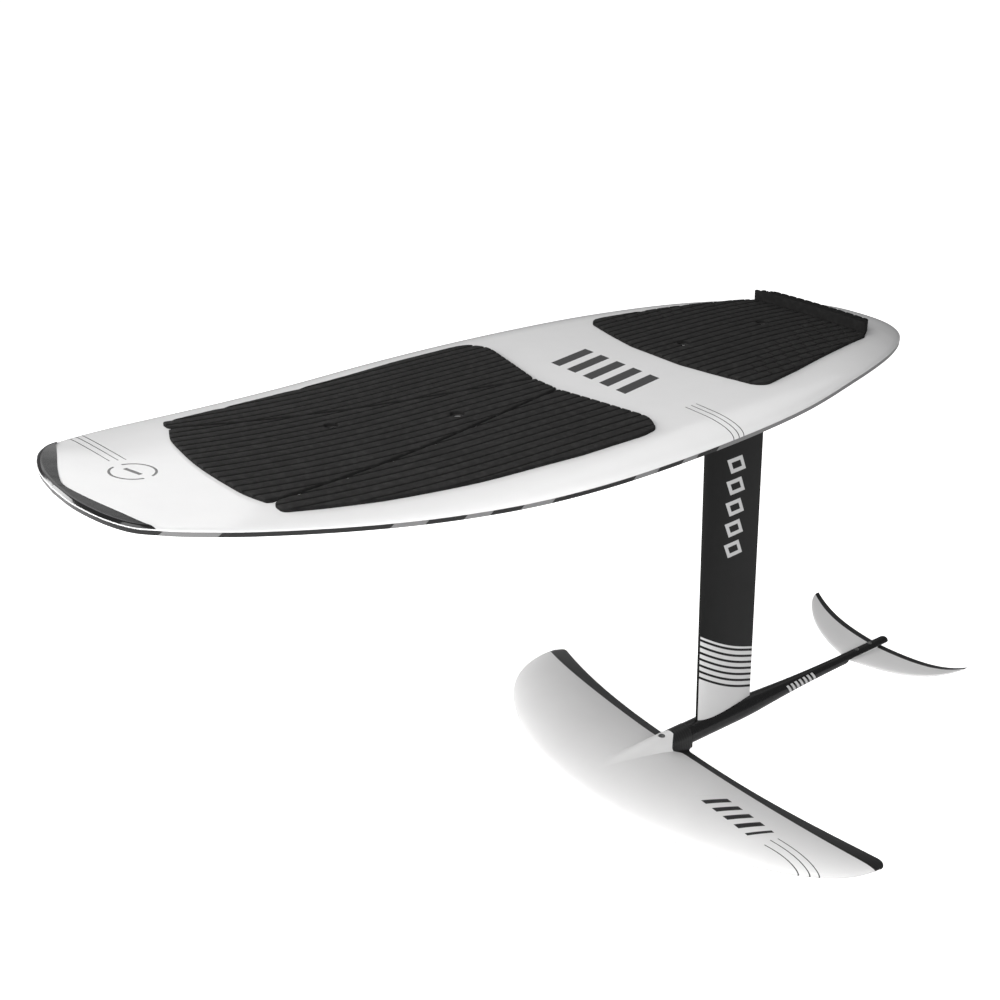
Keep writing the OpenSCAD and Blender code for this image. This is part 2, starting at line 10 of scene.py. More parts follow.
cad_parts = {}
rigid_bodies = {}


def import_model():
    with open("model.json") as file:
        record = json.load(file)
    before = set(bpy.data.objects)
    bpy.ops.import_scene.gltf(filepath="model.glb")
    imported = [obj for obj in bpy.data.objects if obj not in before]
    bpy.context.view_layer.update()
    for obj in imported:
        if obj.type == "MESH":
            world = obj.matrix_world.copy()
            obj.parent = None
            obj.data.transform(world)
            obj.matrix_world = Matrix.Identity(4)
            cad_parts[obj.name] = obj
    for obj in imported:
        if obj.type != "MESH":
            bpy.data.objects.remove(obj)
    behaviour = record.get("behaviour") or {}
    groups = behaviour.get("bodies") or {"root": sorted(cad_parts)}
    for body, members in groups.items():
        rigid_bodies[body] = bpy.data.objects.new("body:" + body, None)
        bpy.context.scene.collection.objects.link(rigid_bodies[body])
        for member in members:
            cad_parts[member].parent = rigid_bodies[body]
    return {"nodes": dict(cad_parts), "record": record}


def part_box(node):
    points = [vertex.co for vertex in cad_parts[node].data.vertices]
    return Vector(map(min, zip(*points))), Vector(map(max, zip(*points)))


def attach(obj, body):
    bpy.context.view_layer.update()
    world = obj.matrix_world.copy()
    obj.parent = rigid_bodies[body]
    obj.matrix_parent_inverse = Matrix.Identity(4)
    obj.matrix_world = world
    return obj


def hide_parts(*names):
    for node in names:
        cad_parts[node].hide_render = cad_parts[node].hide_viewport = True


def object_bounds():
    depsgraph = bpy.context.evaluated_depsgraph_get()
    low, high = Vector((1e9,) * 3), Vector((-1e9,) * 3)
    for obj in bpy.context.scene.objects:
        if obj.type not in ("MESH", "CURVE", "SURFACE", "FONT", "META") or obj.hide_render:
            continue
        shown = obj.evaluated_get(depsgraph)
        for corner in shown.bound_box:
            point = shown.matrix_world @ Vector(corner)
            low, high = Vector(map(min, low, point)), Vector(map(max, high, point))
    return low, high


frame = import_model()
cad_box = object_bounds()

# Lengths below are in millimetres; meshes are made in metres.
MM = 0.001


def corners(node):
    low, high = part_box(node)
    return np.array(low) / MM, np.array(high) / MM


# ---- meshes ----


def mesh_object(name, verts, faces):
    """An object from points in millimetres."""
    mesh = bpy.data.meshes.new(name)
    points = [tuple(v) for v in np.asarray(verts, float) * MM]
    mesh.from_pydata(points, [], [list(map(int, f)) for f in faces])
    obj = bpy.data.objects.new(name, mesh)
    bpy.context.scene.collection.objects.link(obj)
    return obj


def piece(name, verts, faces, body, node, slot, sharp=32, kinds=None):
    """A visible piece that stands for a CAD node and rides on its body.

    kinds gives each face's material slot.
    """
    obj = mesh_object(name, verts, faces)
    if kinds is not None:
        obj.data.polygons.foreach_set("material_index", np.asarray(kinds, np.int32))
    obj.data.validate()
    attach(obj, body)
    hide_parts(node)
    smooth(obj, sharp)
    return obj


def smooth(obj, sharp=32):
    obj.data.shade_smooth()
    obj.data.set_sharp_from_angle(angle=math.radians(sharp))


def cutter(verts, faces):
    """A closed shape used only to cut another."""
    return mesh_object("cutter", verts, faces)


def cut(obj, cutters, operation="DIFFERENCE", sharp=32):
    """Applies a boolean with each cutter, welds what nearly touches, and removes the cutters."""
    for tool in cutters:
        modifier = obj.modifiers.new("cut", "BOOLEAN")
        modifier.operation = operation
        modifier.solver = "EXACT"
        modifier.object = tool
    made = bpy.data.meshes.new_from_object(obj.evaluated_get(bpy.context.evaluated_depsgraph_get()))
    weld = bmesh.new()
    weld.from_mesh(made)
    bmesh.ops.remove_doubles(weld, verts=weld.verts, dist=1e-6)
    weld.to_mesh(made)
    weld.free()
    obj.modifiers.clear()
    old, obj.data = obj.data, made
    bpy.data.meshes.remove(old)
    for tool in cutters:
        bpy.data.objects.remove(tool)
    smooth(obj, sharp)


def loft(rings, strips=False):
    """Closed solid through rings of equal length.

    Its ends are n-gons, or strips between the end ring's two halves.
    """
    n = len(rings[0])
    verts = np.concatenate(rings)
    faces = []
    for k in range(len(rings) - 1):
        a = k * n + np.arange(n)
        b = k * n + (np.arange(n) + 1) % n
        faces += np.stack([a, b, b + n, a + n], 1).tolist()
    last = (len(rings) - 1) * n
    if not strips:
        faces.append(list(range(n))[::-1])
        faces.append(list(range(last, last + n)))
        return verts, faces
    half = n // 2
    for base, flip in ((0, True), (last, False)):
        for i in range(half):
            quad = [base + i, base + i + 1, base + (n - i - 1) % n, base + (n - i) % n]
            quad = list(dict.fromkeys(quad))
            faces.append(quad[::-1] if flip else quad)
    return verts, faces


def prism(points, z0, z1):
    """An upright solid over a plan outline."""
    points = np.asarray(points, float)
    rings = [np.column_stack([points, np.full(len(points), z)]) for z in (z0, z1)]
    return loft(rings)


def circle_at(x, y, r, n):
    angle = np.linspace(0, 2 * math.pi, n, endpoint=False)
    return np.column_stack([x + r * np.cos(angle), y + r * np.sin(angle)])


def drill(x, y, r0, r1, z0, z1, n=48):
    """A cutter for an upright round hole, from radius r0 at z0 to r1 at z1."""
    rings = [np.column_stack([circle_at(x, y, r, n), np.full(n, z)]) for r, z in ((r0, z0), (r1, z1))]
    return cutter(*loft(rings))


def turned(profile, z, n):
    """Solid turned about a line along X at height z, from x and radius pairs."""
    return loft([np.column_stack([np.full(n, x), circle_at(0, z, r, n)]) for x, r in profile])


def catmull(points, sub):
    """Catmull-Rom curve through the points, sub steps for each span."""
    p = np.asarray(points, float)
    out = []
    for i in range(len(p) - 1):
        a, b, c, d = p[max(i - 1, 0)], p[i], p[i + 1], p[min(i + 2, len(p) - 1)]
        for t in np.arange(sub) / sub:
            square, cube = (2 * a - 5 * b + 4 * c - d) * t**2, (3 * b - a - 3 * c + d) * t**3
            out.append(0.5 * (2 * b + (c - a) * t + square + cube))
    return np.array(out + [p[-1]])


def ease(x, a, b):
    """A smooth step from 0 at a to 1 at b."""
    t = np.clip((x - a) / (b - a), 0, 1)
    return t * t * (3 - 2 * t)


# ---- board shape, as in the CAD ----

NOSE = corners("nose_guard")[1][0]
TAIL = corners("deck_skin")[0][0]
HALF_BEAM = corners("deck_skin")[1][1]
DECK, NOSE_RISE, TAIL_DROP = 52.0, 49.0, 24.0
RAIL, NOSE_RAIL = 25.0, 12.0
CROWN, STRIP, SHOULDER, SKIN = 3.0, 6.0, 55.0, 2.4
SPINE = (-200.0, 880.0)
# Rings are moved in from the outline towards the spine, at most to these shares of the way
INNER, LOW_INNER = 0.985, 0.83
ALL_THE_WAY = 9e9

# Half the outline, tail to nose: stations from the tail, along the board, and back from the nose
tail_points = [(0, 0), (3, 34), (14, 66), (40, 98), (90, 134)]
beam_points = [(110, 0.902), (250, 0.972), (400, 1), (540, 0.982), (680, 0.908), (800, 0.812), (900, 0.708)]
nose_points = [(90, 172), (58, 155), (35, 138), (17, 104), (4, 54), (0, 0)]
half_line = catmull(
    [(TAIL + a, b) for a, b in tail_points]
    + [(-130, 172), (-30, 210)]
    + [(a, b * HALF_BEAM) for a, b in beam_points]
    + [(NOSE - a, b) for a, b in nose_points],
    14,
)
half_line[:, 1] = np.maximum(half_line[:, 1], 0)
outline = np.concatenate([half_line * (1, -1), half_line[-2:0:-1]])


def deck_at(x):
    x = np.asarray(x, float)
    return (
        DECK
        + NOSE_RISE * (np.maximum(0, x - 550) / (NOSE - 550)) ** 2
        - TAIL_DROP * (np.maximum(0, 30 - x) / (30 - TAIL)) ** 2
    )


def rail_at(x):
    return NOSE_RAIL + (RAIL - NOSE_RAIL) * ease(np.asarray(x, float), 950, 420)


def keel_at(x):
    nose_keel = deck_at(NOSE) - NOSE_RAIL
    x = np.asarray(x, float)
    return nose_keel * (np.maximum(0, x - 300) / (NOSE - 300)) ** 2 + 6 * (
        np.maximum(0, -150 - x) / (-150 - TAIL)
    ) ** 2


def edge_at(x):
    return deck_at(x) - rail_at(x) + STRIP


def deck_height(x, inset, reach):
    b = rail_at(x) - STRIP
    a = np.minimum(SHOULDER, 0.6 * reach)
    u = np.clip(1 - inset / a, 0, 1)
    drop = b * (1 - np.sqrt(1 - u * u)) + CROWN * (1 - np.clip(inset / reach, 0, 1)) ** 2 * (1 - u * u)
    return deck_at(x) - drop


def guard_height(x, inset, reach):
    """The deck's height with the nose guard's ridge: a flat bevel, then a steeper face."""
    plain = deck_height(x, inset, reach)
    b = rail_at(x) - STRIP
    ridge, start, drop = 5.0, 27.0, 0.27
    top = deck_height(x, start, reach)
    bevel = top - (top - (deck_at(x) - drop * b)) * np.clip((start - inset) / (start - ridge), 0, 1)
    face = deck_at(x) - b + (1 - drop) * b * np.clip(inset / ridge, 0, 1) ** 0.9
    shaped = np.where(inset < ridge, face, bevel)
    return np.where(inset < start, shaped, plain)


def half_at(x):
    return np.interp(x, half_line[:, 0], half_line[:, 1])


def deck_xy(x, y):
    w = half_at(x)
    return deck_height(x, np.maximum(w - np.abs(y), 0), w)


spine_x = np.clip(outline[:, 0], *SPINE)
to_spine = np.column_stack([spine_x, np.zeros(len(spine_x))])
reach = np.linalg.norm(outline - to_spine, axis=1)


def plan(inset, share=INNER):
    """The outline moved in by inset: plan points, and how far each has moved."""
    s = np.minimum(inset / reach, share)
    return to_spine + (outline - to_spine) * (1 - s)[:, None], s * reach


def ring_at(inset, height, dz=0.0):
    xy, d = plan(inset)
    return np.column_stack([xy, height(xy[:, 0], d, reach) + dz])


def edge_ring(inset, dz=0.0):
    xy, _ = plan(inset)
    return np.column_stack([xy, edge_at(xy[:, 0]) + dz])


def keel_ring(inset, dz=0.0, share=LOW_INNER):
    xy, _ = plan(inset, share)
    return np.column_stack([xy, np.minimum(keel_at(xy[:, 0]), edge_at(xy[:, 0]) - STRIP) + dz])


def bevel_ring(inset, share):
    """A ring on the bottom's turned-up edge, a share of the way from the strip to the flat."""
    xy, _ = plan(inset, LOW_INNER)
    z = (1 - share) * (edge_at(xy[:, 0]) - STRIP) + share * keel_ring(inset)[:, 2]
    return np.column_stack([xy, z])


def deck_rows(height, down=0.0, steps=18):
    """Rings from the spine out to the rim, closer together where the shoulder turns down."""
    a = np.minimum(SHOULDER, 0.6 * reach)
    rows = [ring_at(ALL_THE_WAY, height, -down)]
    rows += [ring_at(a + (INNER * reach - a) * f, height, -down) for f in (0.8, 0.55, 0.3, 0.12)]
    for k in range(steps):
        u = math.sin(0.5 * math.pi * k / steps)
        rows.append(ring_at(a * (1 - u) + down * (k / steps), height, -down))
    return rows


# The line between the deck and the nose guard, port to starboard: distances back from the nose
guard_points = [
    (62, 205), (61, 168), (58, 153), (52, 140), (41, 102), (28, 62), (20, 34), (15, 13), (13.5, 0),
]
GUARD_LINE = catmull([(NOSE - a, b) for a, b in guard_points], 8)
GUARD_LINE = np.concatenate([GUARD_LINE, (GUARD_LINE * (1, -1))[-2::-1]])


def guard_cutter(back=0.0):
    """Everything forward of the guard's line, moved back a little to leave a fine gap."""
    line = (GUARD_LINE - np.array([back, 0]))[::-1]
    far_x = NOSE + 40
    return cutter(*prism(list(line) + [(far_x, line[-1][1]), (far_x, line[0][1])], -10, 150))


# Where the four strap inserts are, from the record's mounts
strap_mounts = [m["pos_m"] for m in frame["record"]["mounts"] if m["kind"] == "threaded_hole"]
STRAPS = [(pos[0] / MM, pos[1] / MM) for pos in strap_mounts]


# ---- relief pieces for pads ----


def inside(points, polygon):
    """Which plan points lie inside a polygon."""
    x, y = points[:, 0], points[:, 1]
    result = np.zeros(len(points), bool)
    px, py = polygon[:, 0], polygon[:, 1]
    qx, qy = np.roll(px, -1), np.roll(py, -1)
    for x0, y0, x1, y1 in zip(px, py, qx, qy):
        if y0 == y1:
            continue
        hit = (y0 > y) != (y1 > y)
        result ^= hit & (x < (x1 - x0) * (y - y0) / (y1 - y0) + x0)
    return result


def edge_distance(points, polygon):
    """Distance from each plan point to the polygon's nearest side."""
    best = np.full(len(points), 1e9)
    for a, b in zip(polygon, np.roll(polygon, -1, axis=0)):
        d = b - a
        t = np.clip(((points - a) @ d) / (d @ d), 0, 1)
        best = np.minimum(best, np.linalg.norm(points - a - t[:, None] * d, axis=1))
    return best


def densify(polygon, step):
    """The polygon with points added so that no side is much longer than step."""
    out = []
    for a, b in zip(polygon, np.roll(polygon, -1, axis=0)):
        n = max(1, int(np.linalg.norm(b - a) / step))
        out += [a + (b - a) * k / n for k in range(n)]
    return np.array(out)


def rounded(polygon, radius, steps=5):
    """The polygon with its corners rounded."""
    out = []
    n = len(polygon)
    for i in range(n):
        p, q, r = polygon[i - 1], polygon[i], polygon[(i + 1) % n]
        a, b = p - q, r - q
        la, lb = np.linalg.norm(a), np.linalg.norm(b)
        cut_len = min(radius, 0.45 * la, 0.45 * lb)
        s, e = q + a / la * cut_len, q + b / lb * cut_len
        for k in range(steps + 1):
            t = k / steps
            out.append((1 - t) ** 2 * s + 2 * t * (1 - t) * q + t * t * e)
    return np.array(out)


def shrink(polygon, d):
    """The polygon moved in by d along its corner normals; it runs counter-clockwise."""
    sides = np.roll(polygon, -1, axis=0) - polygon
    sides /= np.linalg.norm(sides, axis=1)[:, None]
    normal = np.column_stack([-sides[:, 1], sides[:, 0]])
    before = np.roll(normal, 1, axis=0)
    m = before + normal
    m /= np.maximum(np.linalg.norm(m, axis=1), 1e-6)[:, None]
    return polygon + m * (d / np.clip((m * before).sum(1), 0.5, 1))[:, None]


def relief(polygon, segments, top, bottom, holes=(), insets=(0.7, 1.8)):
    """Closed solid over a plan outline, from bottom(points) to top(points, distance to the edge).

    segments are plan lines that the mesh follows, holes are round openings, and insets are the
    distances of the extra loops that carry the rounded edge.
    """
    points, edges = [], []

    def loop(line):
        """A closed line of mesh edges, open where points were left out."""
        start, n = len(points), len(line)
        points.extend(map(tuple, line))
        gaps = np.linalg.norm(np.roll(line, -1, axis=0) - line, axis=1)
        edges.extend((start + i, start + (i + 1) % n) for i in range(n) if gaps[i] < 25)

    loop(polygon)
    for d in insets:
        inner = shrink(polygon, d)
        keep = edge_distance(inner, polygon) > 0.75 * d
        loop(inner[keep & inside(inner, polygon)])
    rings = [circle_at(x, y, r, 40) for x, y, r in holes]
    for x, y, r in holes:
        for extra in (0,) + tuple(insets):
            loop(circle_at(x, y, r + extra, 40))
    for a, b in segments:
        points.append(tuple(a))
        points.append(tuple(b))
        edges.append((len(points) - 2, len(points) - 1))
    got = delaunay_2d_cdt([Vector(p) for p in points], edges, [], 0, 1e-4, False)
    xy = np.array([tuple(v) for v in got[0]], float)
    tris = np.array([f for f in got[2] if len(f) == 3], int)
    middle = xy[tris].mean(axis=1)
    keep = inside(middle, polygon)
    for circle in rings:
        keep &= ~inside(middle, circle)
    area = np.cross(xy[tris[:, 1]] - xy[tris[:, 0]], xy[tris[:, 2]] - xy[tris[:, 0]])
    tris[area < 0] = tris[area < 0][:, ::-1]
    tris = tris[keep & (np.abs(area) > 1e-7)]
    used = np.unique(tris)
    index = np.full(len(xy), -1)
    index[used] = np.arange(len(used))
    xy, tris = xy[used], index[tris]
    far = edge_distance(xy, polygon)
    for circle in rings:
        far = np.minimum(far, edge_distance(xy, circle))
    n = len(xy)
    z_top, z_low = top(xy, far), bottom(xy)
    verts = np.concatenate([np.column_stack([xy, z_top]), np.column_stack([xy, z_low])])
    faces = tris.tolist() + (tris[:, ::-1] + n).tolist()
    sides = dict.fromkeys(e for a, b, c in tris.tolist() for e in ((a, b), (b, c), (c, a)))
    faces += [[a + n, b + n, b, a] for a, b in sides if (b, a) not in sides]
    return verts, faces


# Grooves run along the pads at this pitch; the depth follows the distance from a groove's middle
PITCH = 17.0
PAD = 5.0
GROOVE_STEPS = (0.9, 1.9, 3.2, 5.2)
GROOVE_DEPTHS = (2.9, 2.9, 0.75, 0.3, 0.08, 0.0)
CROSS_STEP = 13.0
EDGE_STEPS = (0, 0.7, 1.8, 3.0)


def groove_depth(y):
    d = np.abs((y + PITCH / 2) % PITCH - PITCH / 2)
    return np.interp(d, (0, *GROOVE_STEPS, PITCH / 2), GROOVE_DEPTHS)


def groove_lines(x0, x1, y0, y1):
    middles = [k * PITCH for k in range(int(y0 // PITCH), int(y1 // PITCH) + 2)]
    return [((x0, y + s), (x1, y + s)) for y in middles for step in GROOVE_STEPS for s in (-step, step)]


def cross_lines(x0, x1, y0, y1):
    return [((x, y0), (x, y1)) for x in np.arange(x0 + CROSS_STEP / 2, x1, CROSS_STEP)]


def on_board(xy):
    """The underside of a pad, a hair above the deck."""
    return deck_xy(xy[:, 0], xy[:, 1]) + 0.1


def pad(name, node, polygon, radius, extra_lines=(), extra_depth=None, holes=()):
    """A grooved foam pad. extra_depth(points) gives cuts besides the grooves, on extra_lines."""
    polygon = densify(rounded(np.asarray(polygon, float), radius), 9.0)
    x0, y0 = polygon.min(axis=0) - 2
    x1, y1 = polygon.max(axis=0) + 2
    lines = groove_lines(x0, x1, y0, y1) + cross_lines(x0, x1, y0, y1) + list(extra_lines)

    def top(xy, far):
        z = deck_xy(xy[:, 0], xy[:, 1]) + PAD
        depth = groove_depth(xy[:, 1])
        if extra_depth is not None:
            depth = np.maximum(depth, extra_depth(xy))
        soft = 0.12 * np.sin(xy[:, 0] * 0.31 + xy[:, 1] * 0.9) * np.sin(xy[:, 0] * 0.13 - xy[:, 1] * 0.37)
        return z - np.maximum(depth, np.interp(far, EDGE_STEPS, (1.5, 0.55, 0.1, 0.0))) + soft

    return piece(name, *relief(polygon, lines, top, on_board, holes), "board", node, "pad_foam", 40)


# ---- board pieces ----

SKIN_GAP, GUARD_GAP = 0.25, 0.35
BARREL_HOLE = 9.2
deck_rings = deck_rows(deck_height) + [edge_ring(0), edge_ring(SKIN)] + deck_rows(deck_height, SKIN)[::-1]
deck = piece("deck", *loft(deck_rings, True), "board", "deck_skin", "white_gelcoat")
cut(deck, [guard_cutter(GUARD_GAP)] + [drill(x, y, BARREL_HOLE, BARREL_HOLE, 20, 80) for x, y in STRAPS])

belly = [bevel_ring(inset, share) for inset, share in ((4, 0.045), (25, 0.34), (50, 0.7), (60, 0.84))]
belly += [keel_ring(72), keel_ring(95), keel_ring(ALL_THE_WAY, 0, INNER)]
hull_rings = [keel_ring(ALL_THE_WAY, SKIN, INNER), keel_ring(70 + SKIN, SKIN), edge_ring(SKIN, -SKIN_GAP)]
hull_rings += [edge_ring(0, -SKIN_GAP), edge_ring(0.15, -2), edge_ring(0.35, -4), edge_ring(0.6, -STRIP)]
verts, faces = loft(hull_rings + belly, True)
# The strip under the deck's edge, the three bands after the first three, has its own material
kinds = [1 if 3 <= i / len(outline) < 6 else 0 for i in range(len(faces))]
hull = piece("hull_bottom", verts, faces, "board", "bottom_skin", "grey_gelcoat", 30, kinds)
for _ in range(2):
    hull.data.materials.append(None)
openings = []
for node in ("track_left", "track_right"):
    (x0, y0), (x1, y1) = corners(node)[0][:2] - 0.15, corners(node)[1][:2] + 0.15
    openings.append(cutter(*prism([(x0, y0), (x1, y0), (x1, y1), (x0, y1)], -5, 8)))
cut(hull, [guard_cutter(GUARD_GAP)] + openings, sharp=30)

guard_rings = deck_rows(guard_height, steps=30) + [edge_ring(0), edge_ring(0.3, -3), edge_ring(0.6, -STRIP)]
guard = piece("nose_cap", *loft(guard_rings + belly, True), "board", "nose_guard", "gloss_black_guard", 50)
cut(guard, [guard_cutter()], "INTERSECT", 50)

# Front pad: a centre and two sides, parted by a slanting seam
pad_low, pad_high = corners("front_pad_centre")
PAD_NOTCH, PAD_NOSE = pad_low[0], pad_high[0]
PAD_TAIL = corners("front_pad_left")[0][0]
PAD_SHOULDER = corners("front_pad_left")[1][0]
SEAM_TAIL_Y, SEAM_NOSE_Y, SEAM_GAP = 26.0, 140.0, 2.3
PAD_HOLE = 9.6
BETWEEN_PADS = 300
pad_holes = [(x, y, PAD_HOLE) for x, y in STRAPS]
seam_points = [(PAD_SHOULDER, SEAM_NOSE_Y), (868, 104), (874, 60), (PAD_NOSE - 0.5, 22), (PAD_NOSE, 0)]
nose_curve = catmull(seam_points, 6)[:-1]
seam = np.array([(PAD_SHOULDER - 4, SEAM_NOSE_Y - SEAM_GAP), (PAD_NOTCH, SEAM_TAIL_Y - SEAM_GAP)])
centre = np.concatenate([
    (seam * (1, -1))[::-1], (nose_curve * (1, -1))[1:], [(PAD_NOSE, 0)], nose_curve[:0:-1], seam,
])
front_holes = [h for h in pad_holes if h[0] > BETWEEN_PADS]
pad("pad_front_centre", "front_pad_centre", centre, 2.5, holes=front_holes)
side_outer = [
    (PAD_TAIL, 186), (PAD_TAIL + 14, 213), (374, 219), (474, 219), (545, 213), (617, 208),
    (681, 200), (740, 192), (800, 180), (PAD_SHOULDER - 2, 168),
]
side_inner = [
    (PAD_SHOULDER - 2, 150), (PAD_SHOULDER - 9, SEAM_NOSE_Y + SEAM_GAP),
    (PAD_NOTCH, SEAM_TAIL_Y + SEAM_GAP), (PAD_TAIL, 168),
]
side_left = np.array(side_inner + side_outer)[::-1]
pad("pad_front_left", "front_pad_left", side_left, 7)
pad("pad_front_right", "front_pad_right", (side_left * (1, -1))[::-1], 7)

# Rear pad: long grooves, with brick-like cross cuts along its two margins. The outline is one half.
(KICK_BACK, _, _), (KICK_FRONT, _, _) = corners("kick_block")
rear_outline = [
    (KICK_FRONT + 0.4, 121), (-83, 138), (-26, 153), (55, 173), (128, 188), (143, 176), (158, 110),
    (168, 52),
]
rear = np.concatenate([np.array(rear_outline) * (1, -1), np.array(rear_outline)[::-1]])


def brick_cuts():
    """Cross cuts between two grooves, set off by half in every other row."""
    length = 22.0
    cuts = []
    for k in range(-11, 12):
        y = (k + 0.5) * PITCH
        if abs(y) > 178:
            continue
        for j in range(-9, 9):
            x = (j + (0.5 if k % 2 else 0)) * length
            edge = np.interp(x, *zip(*rear_outline))
            port = y > 118 - max(0, 100 - x) * 0.42 and x < 112
            starboard = -y > edge - 44 and x < 120
            if (port or starboard) and x > KICK_FRONT + 6:
                cuts.append((x, y))
    return cuts


BRICKS = brick_cuts()
CUT_FLOOR, CUT_SIDE = 0.8, 1.7
brick_segments = [
    ((x + s, y - PITCH / 2), (x + s, y + PITCH / 2))
    for x, y in BRICKS
    for s in (-CUT_SIDE, -CUT_FLOOR, CUT_FLOOR, CUT_SIDE)
]


def brick_depth(xy):
    out = np.zeros(len(xy))
    for x, y in BRICKS:
        along, across = np.abs(xy - (x, y)).T
        near = (across < PITCH / 2 + 0.01) & (along < CUT_SIDE + 0.05)
        depth = np.interp(along[near], (CUT_FLOOR, CUT_SIDE), (2.4, 0.0))
        out[near] = np.maximum(out[near], depth)
    return out


rear_holes = [h for h in pad_holes if h[0] < BETWEEN_PADS]
pad("pad_rear", "rear_pad", rear, 9, brick_segments, brick_depth, rear_holes)

# Kick block: smooth faces, a top with rounded edges and cross cuts
kick = np.array([(KICK_BACK, -95), (KICK_FRONT, -117), (KICK_FRONT, 117), (KICK_BACK, 95)])
KICK = 21.0
KICK_CUTS = (-170.25, -162.25, -154.25)
KICK_FLAT = KICK_FRONT - 5
kick_outline = densify(rounded(kick, 3), 8)
kick_lines = [((KICK_BACK - 2, y), (KICK_FRONT + 2, y)) for y in np.arange(-112, 113, 8.0)]
kick_lines += groove_lines(KICK_BACK - 2, KICK_FRONT + 2, -116, 116)
kick_lines += [((x + s, -120), (x + s, 120)) for x in KICK_CUTS for s in (-0.75, 0.75)]


def kick_top(xy, far):
    x, y = xy[:, 0], xy[:, 1]
    forward = np.clip((x - KICK_BACK) / (KICK_FRONT - KICK_BACK), 0, 1)
    z = deck_xy(x, y) + KICK - 3.2 * (1 - forward) ** 2
    rows = np.zeros(len(x))
    for a in KICK_CUTS:
        rows = np.maximum(rows, np.where(np.abs(x - a) < 0.8, 1.6, 0))
    depth = np.where(x < KICK_FLAT, np.maximum(groove_depth(y) * 0.7, rows), 0)
    return z - np.maximum(depth, np.interp(far, EDGE_STEPS, (1.8, 0.6, 0.12, 0.0)))


piece("kick", *relief(kick_outline, kick_lines, kick_top, on_board), "board", "kick_block", "kick_foam", 40)

# ---- mast ----


def section_half(s):
    """Half thickness of a symmetric wing section at share s of its chord, per half of its thickness."""
    return 2.969 * np.sqrt(s) - 1.26 * s - 3.516 * s**2 + 2.843 * s**3 - 1.015 * s**4


def aerofoil(x0, x1, thick, grow, n=48, tail=0.3):
    """Symmetric section from its nose at x1 to its tail at x0, counter-clockwise."""
    s = (1 - np.cos(np.linspace(0, math.pi, n + 1))) / 2
    half = thick / 2 * section_half(s) + tail * s + np.where(s > 0, grow, 0)
    x = x1 + grow - (x1 - x0 + 2 * grow) * s
    return np.concatenate([np.column_stack([x, half]), np.column_stack([x, -half])[:0:-1]])


mast_low, mast_high = corners("mast")
MAST_THICK = 17.0
mast_ring = aerofoil(mast_low[0], mast_high[0], MAST_THICK, 0.0)
mast_levels = np.linspace(mast_low[2], mast_high[2], 13)
rings = [np.column_stack([mast_ring, np.full(len(mast_ring), z)]) for z in mast_levels]
piece("mast_blade", *loft(rings), "foil", "mast", "mast_aluminium", 40)

# ---- fuselage ----

fuse_low, fuse_high = corners("fuselage")
# Height of the fuselage's axis, where the wing's collar meets it, and the stabiliser's seat
AXIS_Z = -637.5
JOINT_X = 86.3
SEAT_X, SEAT_Z = -306, AXIS_Z + 1.4
tail_r, body_r, spigot_r = 9.5, 18.5, 12
quarter = np.linspace(0, math.pi / 2, 7)
tail_cap = [(fuse_low[0] + 10 * (1 - math.cos(a)), tail_r * (0.25 + 0.75 * math.sin(a))) for a in quarter]
taper = [(-290, tail_r), (-245, 10.1), (-188, 11.5), (-138, 13.6), (-90, 16.2), (-62, 17.8), (-30, body_r)]
front = [(JOINT_X - 0.8, body_r), (JOINT_X - 0.3, body_r - 0.5), (JOINT_X - 0.3, spigot_r)]
front += [(fuse_high[0] - 2, spigot_r), (fuse_high[0], spigot_r - 2)]
profile = tail_cap + [(-380, tail_r), (-330, tail_r)] + catmull(taper, 8).tolist() + front
fuselage = piece("fuselage_body", *turned(profile, AXIS_Z, 96), "foil", "fuselage", "black_aluminium", 35)
# The seat's cut ends in a slope at its front
seat_plan = [(SEAT_X - 200, -30), (SEAT_X + 32, -30), (SEAT_X + 32, 30), (SEAT_X - 200, 30)]
seat, seat_faces = prism(seat_plan, AXIS_Z - 40, SEAT_Z)
seat[(seat[:, 0] > SEAT_X) & (seat[:, 2] > AXIS_Z), 0] = SEAT_X
cutters = [
    cutter(seat, seat_faces),
    cutter(*prism(aerofoil(mast_low[0], mast_high[0], MAST_THICK, 0.25), mast_low[2] - 0.2, AXIS_Z + 40)),
]
MAST_SCREWS = (34, 6, -20)
head_top = corners("mast_foot_screws")[0][2] + 5.1
for x in MAST_SCREWS:
    cutters.append(drill(x, 0, 5.8, 5.8, AXIS_Z - 30, head_top))
    cutters.append(drill(x, 0, 3.2, 3.2, AXIS_Z - 30, AXIS_Z + 30))
STAB_SCREWS = (-335, -370)
for x in STAB_SCREWS:
    cutters.append(drill(x, 0, 4.6, 4.6, AXIS_Z + 5, AXIS_Z + 30))
    cutters.append(drill(x, 0, 2.7, 2.7, AXIS_Z - 10, AXIS_Z + 6))
cut(fuselage, cutters, sharp=35)

# ---- wings ----


def soft_max(a, b, k):
    """The larger of two heights, with a fillet of size k where they meet."""
    h = np.maximum(k - np.abs(a - b), 0) / k
    return np.maximum(a, b) + h * h * k / 4


